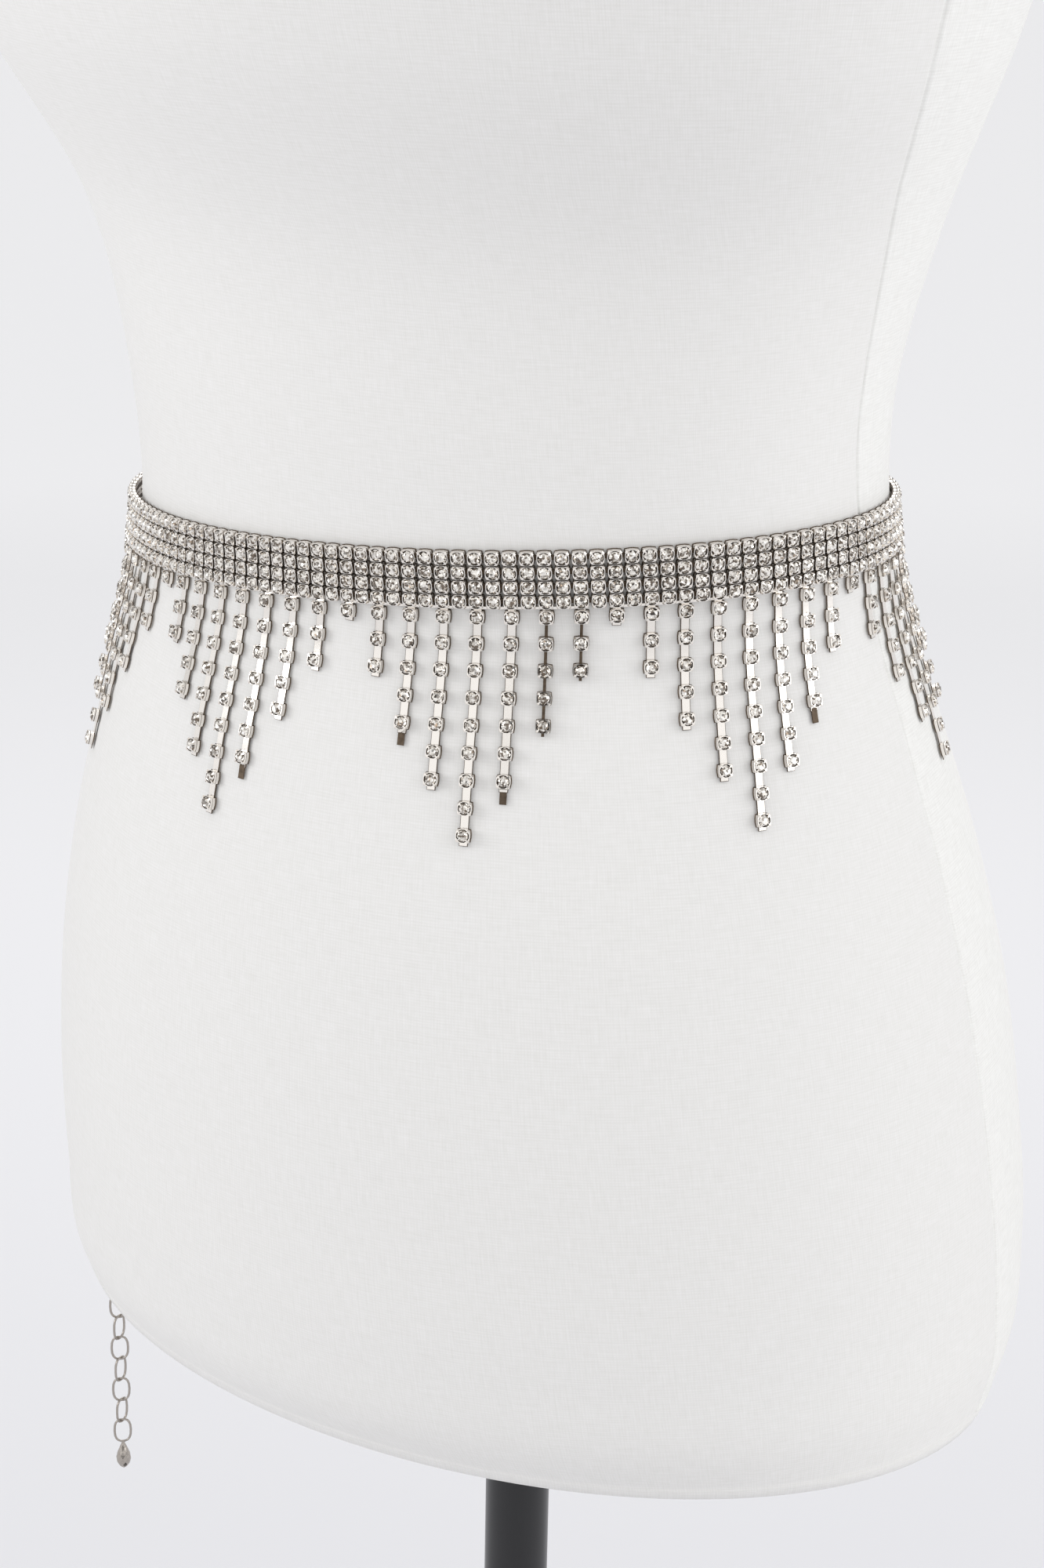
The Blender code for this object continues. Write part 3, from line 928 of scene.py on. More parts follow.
@dataclass
class BeltRing:
    """The tipped ring round the waist that the band follows, measured by length round its face.

    Attributes:
        form: The form under the belt.
        height: Height of the ring's plane on the z axis.
        slope_x: Rise of the plane for each metre along x.
        slope_y: Rise of the plane for each metre along y.
        stone_pitch: Length from one column of stones to the next.
        row_pitch: Height from one row to the next.
        rows: Rows of stones.
        band_bottom: Rise of the band's lower edge over the plane.
        band_front: Distance from the form at which the length is measured.
        strand_phase: Length at which a column, numbered 0, carries a strand.
        closure_angle: Ring angle of the middle of the closure.
        closure_gap: Length between the band's two ends.
        end_lift: How far each end stands off the form.
        end_lift_length: Length over which it comes back to it.
        measures: Points round the ring for measuring it.
        rounds: Times that a height and its section are worked out in turn.
        probe: Half the length over which directions are measured.
    """

    form: DressForm
    height: float = 0.9992
    slope_x: float = 0.0777
    slope_y: float = -0.0399
    stone_pitch: float = 5.0 * MM
    row_pitch: float = 4.35 * MM
    rows: int = 4
    band_bottom: float = 2.6 * MM
    band_front: float = 2.0 * MM
    strand_phase: float = 52.0 * MM
    closure_angle: float = math.radians(-189.7)
    closure_gap: float = 40.0 * MM
    end_lift: float = 3.0 * MM
    end_lift_length: float = 85.0 * MM
    measures: int = 4001
    rounds: int = 8
    probe: float = 1.0 * MM
    angles: Array = field(init=False)
    lengths: Array = field(init=False)

    def __post_init__(self) -> None:
        """Measures the ring once round from the closure, with zero at the front."""
        self.angles = np.linspace(self.closure_angle, self.closure_angle + 2 * math.pi, self.measures)
        face = self.at_angle(self.angles, self.middle_rise, self.band_front)
        steps = np.linalg.norm(np.diff(face, axis=0), axis=1)
        length = np.concatenate([[0.0], np.cumsum(steps)])
        self.lengths = length - np.interp(-math.pi / 2, self.angles, length)

    @property
    def middle_rise(self) -> float:
        """Rise of the band's middle over the ring's plane."""
        return self.band_bottom + self.rows * self.row_pitch / 2

    @property
    def whole(self) -> float:
        """Length once round."""
        return float(self.lengths[-1] - self.lengths[0])

    @property
    def start(self) -> float:
        """Length at which the band starts."""
        return float(self.lengths[0] + self.closure_gap / 2)

    @property
    def end(self) -> float:
        """Length at which the band ends."""
        return float(self.lengths[-1] - self.closure_gap / 2)

    def at_angle(self, angle: Array, rise: float | Array, offset: float | Array) -> Array:
        """Points at ring angles on the form's section, moved out by an offset.

        A point's height is that of the tipped plane at its x and y, plus a rise. Height and section depend on
        each other, so they are worked out in turn.

        Args:
            angle: Ring angles.
            rise: Rise over the plane.
            offset: Distance out from the form.

        Returns:
            An (N, 3) array.
        """
        angle = np.asarray(angle, float)
        x, y = np.zeros_like(angle), np.zeros_like(angle)
        for _ in range(self.rounds):
            height = self.height + rise + self.slope_x * x + self.slope_y * y
            wide, deep, centre = self.form.section(height)
            x, y = wide * np.cos(angle), centre + deep * np.sin(angle)
        out = unit_rows(np.stack([np.cos(angle) / wide, np.sin(angle) / deep], axis=-1))
        offset = np.broadcast_to(offset, angle.shape)
        return np.stack([x + offset * out[..., 0], y + offset * out[..., 1], height], axis=-1)

    def lift(self, length: Array) -> Array:
        """How far the band stands off the form near its ends: a smooth step over the lift's length.

        Args:
            length: Lengths round the band.

        Returns:
            Distances in metres.
        """
        near = np.minimum(length - self.start, self.end - length)
        share = np.clip(1 - near / self.end_lift_length, 0, 1)
        return self.end_lift * share**2 * (3 - 2 * share)

    def at_length(self, length: Array, rise: float | Array, offset: float) -> Array:
        """Points at lengths round the band, with the band's own lift added."""
        angle = np.interp(length, self.lengths, self.angles)
        return self.at_angle(angle, rise, offset + self.lift(np.asarray(length, float)))

    def frames(self, length: Array, rise: float | Array, offset: float) -> tuple[Array, Array]:
        """Places on the band with axes along it, up it and out of it.

        Args:
            length: Lengths round the band.
            rise: Rise over the plane.
            offset: Distance from the form.

        Returns:
            Places (N, 3) and axes (N, 3, 3).
        """
        step = self.probe
        spot = self.at_length(length, rise, offset)
        ahead = self.at_length(length + step, rise, offset) - self.at_length(length - step, rise, offset)
        along = unit_rows(ahead)
        rough = self.at_length(length, rise + step, offset) - self.at_length(length, rise - step, offset)
        out = unit_rows(np.cross(along, rough))
        up = np.cross(out, along)
        return spot, np.stack([along, up, out], axis=1)

    def columns(self) -> Array:
        """Numbers of the stone columns, in step with the fringe strands.

        Returns:
            Whole numbers, one for each column.
        """
        first = math.ceil((self.start + self.stone_pitch / 2 - self.strand_phase) / self.stone_pitch)
        last = math.floor((self.end - self.stone_pitch / 2 - self.strand_phase) / self.stone_pitch)
        return np.arange(first, last + 1)


# Stones in their cups


@dataclass
class StoneCup:
    """One round stone in a square plated cup whose four corners are bent over it.

    The unit's axes are along, up and out, with its back on the plane out = 0. Twelve points go round it, so
    that a square has one at each corner, drawn in to round it, and two more on each side.

    Attributes:
        width: Width of the cup.
        height: Height of the cup.
        corner: How far out its corners are, as a share of a sharp square's.
        depth: From its back to its rim.
        mouth: Width of its round opening.
        stone: Width of the stone.
        foot: Height of the flared foot.
        flare: Width at the back, as a share of the cup's.
        waist: Width of the wall, as a share of the cup's.
        groove: Heights of the groove under the rim, as shares of the depth.
        rim: Width at the top of the rim, as a share of the cup's.
        girdle: Height of the stone's widest part.
        crown: From there to its table.
        seat: Width and height of the seat under the stone, as shares of the stone's and the girdle's.
        table: Width of the table, as a share of the stone's.
        stars: Width and rise of the star facets' ends, as shares of the stone's and the crown's.
        prong: Width of a prong at its root.
        bend: A prong's place and width where it bends over, as shares of the corner's and the root's.
        tip: The same at its tip, with the place as a share of the stone's.
        peak: Heights over the girdle of its bend and its tip, as shares of the crown.
    """

    width: float = 4.3 * MM
    height: float = 4.05 * MM
    corner: float = 0.90
    depth: float = 2.0 * MM
    mouth: float = 3.95 * MM
    stone: float = 3.72 * MM
    foot: float = 0.35 * MM
    flare: float = 1.06
    waist: float = 0.97
    groove: tuple[float, float] = (0.66, 0.78)
    rim: float = 0.98
    girdle: float = 1.75 * MM
    crown: float = 1.05 * MM
    seat: tuple[float, float] = (0.97, 0.8)
    table: float = 0.52
    stars: tuple[float, float] = (0.80, 0.52)
    prong: float = 0.80 * MM
    bend: tuple[float, float] = (0.86, 0.85)
    tip: tuple[float, float] = (0.72, 0.30)
    peak: tuple[float, float] = (0.62, 0.74)

    def rings(self, levels: tuple[tuple[float, float, float], ...]) -> Shell:
        """Rings joined into a wall: each level is a square's half side, a circle's radius and a height.

        A ring is the square where its radius is zero, and else the circle.

        Args:
            levels: Rows of half side, radius and height.

        Returns:
            The open wall.
        """
        turn = (np.arange(12) + 0.5) * math.pi / 6
        ray = np.stack([np.cos(turn), np.sin(turn)], axis=-1)
        square = ray / np.abs(ray).max(axis=1, keepdims=True) * np.array([1.0, self.height / self.width])
        square[1::3] *= self.corner
        rings = [
            np.column_stack([ray * radius if radius else square * half, np.full(12, height)])
            for half, radius, height in levels
        ]
        return Shell(np.concatenate(rings), [grid_faces(len(levels), 12, True)])

    def plate(self) -> Shell:
        """The bright parts: the cup's back, wall, rim from the square to the mouth, and four prongs.

        Returns:
            The plated metal about the cup's origin.
        """
        half = self.width / 2
        low, high = self.depth * self.groove[0], self.depth * self.groove[1]
        back = Shell(self.rings(((half * self.flare, 0.0, 0.0),)).points, [np.arange(12)[::-1][None]])
        wall = self.rings(((half * self.waist, 0.0, self.foot), (half * self.waist, 0.0, low)))
        top = ((half, 0.0, high), (half * self.rim, 0.0, self.depth), (0.0, self.mouth / 2, self.depth))
        turn = (np.arange(4) + 0.5) * math.pi / 2
        away = np.column_stack([np.cos(turn), np.sin(turn) * self.height / self.width, np.zeros(4)])
        side = np.column_stack([-np.sin(turn), np.cos(turn), np.zeros(4)])
        lift = np.array([0.0, 0.0, 1.0])
        reach = half * math.sqrt(2) * self.corner
        inner = self.stone / 2 * self.tip[0]
        bend, tip = (self.girdle + rise * self.crown for rise in self.peak)
        corners = (
            (reach * self.waist, self.prong, self.depth),
            (reach * self.bend[0], self.prong * self.bend[1], bend),
            (inner, self.prong * self.tip[1], tip),
        )
        rows = []
        for out, wide, height in corners:
            rows.append(away * out + side * wide / 2 + lift * height)
            rows.append(away * out - side * wide / 2 + lift * height)
        rows.append(away * inner + lift * self.girdle)
        prongs = np.stack(rows, axis=1).reshape(-1, 3)
        quads = np.array([[0, 2, 3, 1], [2, 4, 5, 3], [1, 3, 5, 6], [0, 6, 4, 2]])
        faces = (quads[None] + (np.arange(4) * 7)[:, None, None]).reshape(-1, 4)
        return join_shells([back, wall, self.rings(top), Shell(prongs, [faces])])

    def recess(self) -> Shell:
        """The dark parts: the cup's foot, the groove under the rim and the gap round the stone. Their dark
        metal is painted shade there, besides tarnished plate.

        Returns:
            The dark metal about the cup's origin.
        """
        half = self.width / 2
        low, high = self.depth * self.groove[0], self.depth * self.groove[1]
        foot = self.rings(((half * self.flare, 0.0, 0.0), (half * self.waist, 0.0, self.foot)))
        groove = self.rings(((half * self.waist, 0.0, low), (half, 0.0, high)))
        seat = (0.0, self.stone / 2 * self.seat[0], self.girdle * self.seat[1])
        gap = self.rings(((0.0, self.mouth / 2, self.depth), seat))
        return join_shells([foot, groove, gap])

    def gem(self) -> Shell:
        """The stone's crown: an eight-sided table, eight stars, eight kites and sixteen girdle facets.

        Returns:
            The stone about the cup's own origin.
        """
        inner = np.arange(8) * math.pi / 4
        waist = inner + math.pi / 8
        outer = np.arange(16) * math.pi / 8
        radius = self.stone / 2
        levels = (
            (inner, radius * self.table, self.girdle + self.crown),
            (waist, radius * self.stars[0], self.girdle + self.stars[1] * self.crown),
            (outer, radius, self.girdle),
        )
        points = np.concatenate(
            [
                np.column_stack([np.cos(turn) * size, np.sin(turn) * size, np.full(len(turn), height)])
                for turn, size, height in levels
            ]
        )
        step = np.arange(8)
        stars = np.column_stack([step, step + 8, (step + 1) % 8])
        kites = np.column_stack([step, (step - 1) % 8 + 8, 16 + 2 * step, step + 8])
        lower = np.column_stack([step + 8, 16 + 2 * step, 17 + 2 * step])
        upper = np.column_stack([step + 8, 17 + 2 * step, 16 + (2 * step + 2) % 16])
        return Shell(points, [step[None], stars, kites, np.concatenate([lower, upper])])


@dataclass
class Jeweller:
    """Sets cups and stones at many places and makes their pieces.

    Attributes:
        cup: The cup that is repeated.
        plate: Metal of its bright parts.
        tarnish_and_shade: Metal of its dark parts, partly tarnished plate and partly painted shade.
        crystal: The stones' own finish.
    """

    cup: StoneCup
    plate: bpy.types.Material
    tarnish_and_shade: bpy.types.Material
    crystal: bpy.types.Material

    def set_stones(
        self,
        name: str,
        places: Array,
        frames: Array,
        bright: list[Shell],
        dark: list[Shell],
        nodes: tuple[str, ...],
    ) -> None:
        """Adds a metal piece of cups and links, and a piece of stones that goes with it.

        Args:
            name: Start of both pieces' names.
            places: Origins of the cups.
            frames: Axes of the cups.
            bright: More plated metal, such as links.
            dark: More dark metal, such as cut ends, partly tarnished plate and partly painted shade.
            nodes: Solids that the metal piece replaces.
        """
        shining = join_shells([repeat_shell(self.cup.plate(), places, frames)] + bright)
        dull = join_shells([repeat_shell(self.cup.recess(), places, frames)] + dark)
        counts = [sum(len(part) for part in shell.faces) for shell in (shining, dull)]
        kinds = np.repeat([0, 1], counts)
        metal = join_shells([shining, dull])
        add_piece(f"{name}_cups", metal, [self.plate, self.tarnish_and_shade], nodes, kinds=kinds)
        stones = repeat_shell(self.cup.gem(), places, frames)
        add_piece(f"{name}_stones", stones, [self.crystal])


def ribbon(places: Array, frames: Array, width: float, thick: float) -> Shell:
    """Flat strips of metal: four corner lines about each path, joined along it and closed at both ends.

    The path runs the way of row 0 crossed with row 2, so that the faces point outwards.

    Args:
        places: (paths, steps, 3) centres.
        frames: (paths, steps, 3, 3) axes of which row 0 goes across and row 2 out.
        width: Width across.
        thick: Thickness out.

    Returns:
        All the strips as one shell.
    """
    corners = np.array([[-0.5, -0.5], [0.5, -0.5], [0.5, 0.5], [-0.5, 0.5]]) * [width, thick]
    offsets = (
        corners[None, None, :, 0, None] * frames[:, :, None, 0, :]
        + corners[None, None, :, 1, None] * frames[:, :, None, 2, :]
    )
    points = places[:, :, None, :] + offsets
    paths, steps = places.shape[:2]
    one = grid_faces(steps, 4, True)
    shift = np.arange(paths) * steps * 4
    ends = np.array([[3, 2, 1, 0], [0, 1, 2, 3]]) + np.array([[0], [(steps - 1) * 4]])
    faces = [(part[None] + shift[:, None, None]).reshape(-1, 4) for part in (one, ends)]
    return Shell(points.reshape(-1, 3), faces)


@dataclass
class StoneBand:
    """Four soldered rows of close cup chain.

    Attributes:
        ring: The ring that they follow.
        back: Distance of the cups' backs from the form.
        link_width: Width of the links between columns.
        link_thick: Their thickness.
        solder_back: How far the solder lies out from the cups' backs.
        solder_width: Width of a solder strip.
        solder_thick: Its thickness.
        solder_steps: Its points.
    """

    ring: BeltRing
    back: float = 0.9 * MM
    link_width: float = 1.5 * MM
    link_thick: float = 0.45 * MM
    solder_back: float = 0.3 * MM
    solder_width: float = 1.8 * MM
    solder_thick: float = 0.5 * MM
    solder_steps: int = 5

    def build(self, jeweller: Jeweller) -> None:
        """Sets the stones of all four rows and the links that join the columns.

        A link is a strip from the middle of one cup to the middle of the next. The links and solder strips
        are in the dark metal, which paints the shade in the gaps between the cups.

        Args:
            jeweller: The one who sets them.
        """
        ring = self.ring
        length = ring.strand_phase + ring.columns() * ring.stone_pitch
        rises = ring.band_bottom + (np.arange(ring.rows) + 0.5) * ring.row_pitch
        all_lengths = np.tile(length, ring.rows)
        all_rises = np.repeat(rises, len(length))
        places, frames = ring.frames(all_lengths, all_rises, self.back)
        steps = np.array([-0.5, 0.0, 0.5]) * ring.stone_pitch
        gaps = np.tile(length[:-1] + ring.stone_pitch / 2, ring.rows)
        strip = (gaps[:, None] + steps[None, :]).reshape(-1)
        strip_rises = np.repeat(rises, (len(length) - 1) * len(steps))
        spots, axes = ring.frames(strip, strip_rises, self.back + self.link_thick / 2)
        axes = axes[:, [1, 0, 2]].reshape(-1, 3, 3, 3)
        links = ribbon(spots.reshape(-1, 3, 3), axes, self.link_width, self.link_thick)
        solder = self.solder(rises, length)
        jeweller.set_stones("band", places, frames, [], [links, solder], ("stone_band",))

    def solder(self, rises: Array, length: Array) -> Shell:
        """Short upright strips behind each column where the rows are soldered together, in the dark metal,
        which paints the shade behind the gaps between the rows.

        Args:
            rises: Rises of the rows.
            length: Lengths of the columns.

        Returns:
            The strips.
        """
        steps = self.solder_steps
        heights = np.tile(np.linspace(rises[-1], rises[0], steps), len(length))
        spots, axes = self.ring.frames(np.repeat(length, steps), heights, self.back + self.solder_back)
        spots, axes = spots.reshape(-1, steps, 3), axes.reshape(-1, steps, 3, 3)
        return ribbon(spots, axes, self.solder_width, self.solder_thick)


@dataclass
class Fringe:
    """Strands of spaced cup chain that hang from every second column, in a wave of lengths.

    Most links lie flat and bright, with a dark strip behind that is a dark solder edge and painted contact
    shadow; those of the turned strands stand on edge, thin and dark, a painted dark reflection.

    Attributes:
        ring: The ring that they hang from.
        wave: Strands in a wave.
        longest: Stones on a wave's longest strand.
        peak: Number of one such strand.
        middle: Number of the strand at the ring's strand phase.
        pitch: Distance from one stone to the next.
        first: Distance of the first stone below the strip.
        strip_top: Rise of the top of the backing strip.
        strip_height: Its height.
        back: Distance of the cups' backs from the form.
        ease: Distance down a strand over which the band's lift fades.
        link_width: Width of a link.
        link_thick: Its thickness.
        shadow_edge_width: Width of the dark edge to each side of a link, a dark solder edge and painted
            contact shadow.
        edge_thick: Thickness of the strip that makes it, as a share of a link's.
        stub: Length of the cut end under a last cup.
        long_stub: Length of the longer cut ends.
        long_stubs: Strands that have one.
        tail_width: Width of those, as a share of a link's.
        tail_steps: Their points.
        turned: Strands whose links stand on edge.
        turned_width: Width of such a link.
        turned_thick: Its thickness.
        steps_each: Steps down a strand from one stone to the next.
        seam_size: Width and thickness of the solder line.
        seam_rise: Its rise over the band's lower edge.
        seam_step: Distance between its points.
        seam_past: How far it runs past the last strands.
        seam_back: Its distance from the form.
        tab_rises: Rises of the tabs' points, as shares of the band's lower edge.
    """

    ring: BeltRing
    wave: int = 8
    longest: int = 9
    peak: int = 4
    middle: int = 13
    pitch: float = 8.0 * MM
    first: float = 1.2 * MM
    strip_top: float = 2.3 * MM
    strip_height: float = 1.1 * MM
    back: float = 0.65 * MM
    ease: float = 12.0 * MM
    link_width: float = 2.3 * MM
    link_thick: float = 0.4 * MM
    shadow_edge_width: float = 0.18 * MM
    edge_thick: float = 0.5
    stub: float = 0.9 * MM
    long_stub: float = 4.6 * MM
    long_stubs: tuple[int, ...] = (5, 10, 13, 22)
    tail_width: float = 0.9
    tail_steps: int = 4
    turned: tuple[int, ...] = (14, 15)
    turned_width: float = 0.85 * MM
    turned_thick: float = 1.2 * MM
    steps_each: int = 8
    seam_size: float = 0.7 * MM
    seam_rise: float = 0.1 * MM
    seam_step: float = 2.5 * MM
    seam_past: float = 1.5 * MM
    seam_back: float = 0.9 * MM
    tab_rises: tuple[float, float, float] = (1.2, 0.7, 0.2)

    def numbers(self) -> Array:
        """Strand numbers, one for every second column."""
        places = self.ring.columns()
        return self.middle + places[places % 2 == 0] // 2

    def stones_on(self, numbers: Array) -> Array:
        """Stones on each strand: a wave that rises and falls in steps of two."""
        step = (numbers - self.peak) % self.wave
        return self.longest - 2 * np.minimum(step, self.wave - step)

    def build(self, jeweller: Jeweller) -> None:
        """Sets each wave of strands as one piece for each backing strip.

        A strand hangs down the path of steepest descent over the form, pushed out where the band stands
        off it.

        Args:
            jeweller: The one who sets its stones.
        """
        ring = self.ring
        numbers = self.numbers()
        counts = self.stones_on(numbers)
        places = ring.strand_phase + (numbers - self.middle) * 2 * ring.stone_pitch
        root = self.strip_top - self.strip_height
        angle = np.interp(places, ring.lengths, ring.angles)
        step = self.pitch / self.steps_each
        steps = self.steps_each * (self.longest + 1)
        path, normals, ways = ring.form.walk_down(ring.at_angle(angle, root, 0.0), steps, step)
        first = self.first / step
        lift = ring.lift(places)
        distance = np.arange(steps + 1) * step
        ease = np.exp(-distance / self.ease)[:, None, None] * lift[None, :, None]
        path = path + normals * ease
        side = unit_rows(np.cross(normals, ways))
        axes = np.stack([side, -ways, normals], axis=2)
        for index, wave in enumerate(np.unique(numbers // self.wave)):
            members = np.flatnonzero(numbers // self.wave == wave)
            spots, frames, links, dark_parts = [], [], [], []
            for member in members:
                place = first + self.steps_each * np.arange(counts[member])
                low = place.astype(int)
                share = (place - low)[:, None]
                spot = path[low, member] * (1 - share) + path[low + 1, member] * share
                spots.append(spot + normals[low, member] * self.back)
                frames.append(axes[low, member])
                end = place[-1] * step + jeweller.cup.width / 2
                shapes = (path[:, member], normals[:, member], axes[:, member])
                line = np.append(np.arange(0, end, step), end + self.stub)
                # A turned strand's links are in the dark metal: a painted dark reflection.
                if numbers[member] in self.turned:
                    dark_parts.append(self.link(shapes, distance, line, self.turned_width, self.turned_thick))
                else:
                    links.append(self.link(shapes, distance, line, self.link_width, self.link_thick))
                    # A wider dark strip behind each flat link paints the contact shadow along its edges.
                    line, edge = line + self.shadow_edge_width, self.link_width + 2 * self.shadow_edge_width
                    dark_parts.append(self.link(shapes, distance, line, edge, self.edge_thick * self.link_thick))
                if numbers[member] in self.long_stubs:
                    tail = np.linspace(end, end + self.long_stub, self.tail_steps)
                    width = self.link_width * self.tail_width
                    dark_parts.append(self.link(shapes, distance, tail, width, self.link_thick))
            links.append(self.strip(places[members]))
            name = f"fringe_{index + 1:02d}"
            jeweller.set_stones(name, np.concatenate(spots), np.concatenate(frames), links, dark_parts, (name,))

    def link(
        self,
        shapes: tuple[Array, Array, Array],
        distance: Array,
        wanted: Array,
        width: float,
        thick: float,
    ) -> Shell:
        """One flat strip behind a strand's stones.

        Args:
            shapes: The strand's points, normals and axes.
            distance: Distances of those down the strand.
            wanted: Distances of the strip's own points.
            width: Its width.
            thick: Its thickness from the strands' back.

        Returns:
            The strip.
        """
        path, normals, axes = shapes
        spots = read_path(path, distance, wanted)
        outs = read_path(normals, distance, wanted)
        frames = np.stack([read_path(axes[:, axis], distance, wanted) for axis in range(3)], axis=1)
        centres = spots + outs * (self.back + thick / 2)
        return ribbon(centres[None], frames[None], width, thick)

    def strip(self, places: Array) -> Shell:
        """The solder line behind the bottom row, and a short tab from it down to each strand.

        Args:
            places: Lengths of a wave's strands round the band.

        Returns:
            The line and its tabs.
        """
        ring = self.ring
        line = np.arange(places[0] - self.seam_past, places[-1] + self.seam_past + 0.1 * MM, self.seam_step)
        rise = np.full(len(line), ring.band_bottom + self.seam_rise)
        spots, axes = ring.frames(line, rise, self.seam_back)
        seam = ribbon(spots[None], axes[:, [1, 0, 2]][None], self.seam_size, self.seam_size)
        steps = len(self.tab_rises)
        rises = np.tile(np.array(self.tab_rises) * ring.band_bottom, len(places))
        spots, axes = ring.frames(np.repeat(places, steps), rises, self.seam_back)
        spots, axes = spots.reshape(-1, steps, 3), axes.reshape(-1, steps, 3, 3)
        tabs = ribbon(spots, axes, self.link_width, self.link_thick)
        return join_shells([seam, tabs])


# Closure and extender


@dataclass
class WireLink:
    """A closed wire link with straight sides and round ends.

    Attributes:
        length: Its outside length.
        width: Its outside width.
        wire: The wire's width.
        turns: Steps along the wire.
        sides: Steps round the wire.
        power: Power of the outline: 2 is an ellipse, and more is nearer to a box.
    """

    length: float
    width: float
    wire: float
    turns: int = 22
    sides: int = 7
    power: float = 2.6

    def shell(self) -> Shell:
        """The link lies in the plane of its first two axes: a superellipse with a round wire along it.

        The wire's circle stands on the outline's own outward direction.

        Returns:
            The link about its centre.
        """
        turn = np.arange(self.turns) * 2 * math.pi / self.turns
        power = 2 / self.power
        x = np.sign(np.cos(turn)) * np.abs(np.cos(turn)) ** power * (self.width / 2 - self.wire / 2)
        y = np.sign(np.sin(turn)) * np.abs(np.sin(turn)) ** power * (self.length / 2 - self.wire / 2)
        line = np.stack([x, y, np.zeros_like(x)], axis=-1)
        ahead = unit_rows(np.roll(line, -1, axis=0) - np.roll(line, 1, axis=0))
        outward = np.stack([ahead[:, 1], -ahead[:, 0], np.zeros_like(x)], axis=-1)
        twist = np.arange(self.sides) * 2 * math.pi / self.sides
        ring = (
            outward[:, None, :] * np.cos(twist)[None, :, None]
            + np.array([0.0, 0.0, 1.0])[None, None, :] * np.sin(twist)[None, :, None]
        )
        points = line[:, None, :] + ring * self.wire / 2
        faces = grid_faces(self.turns, self.sides, True)
        low = np.arange(self.sides) + (self.turns - 1) * self.sides
        high = np.arange(self.sides)
        last = np.stack([low, np.roll(low, -1), np.roll(high, -1), high], axis=-1)
        return Shell(points.reshape(-1, 3), [np.concatenate([faces, last])[:, ::-1]])


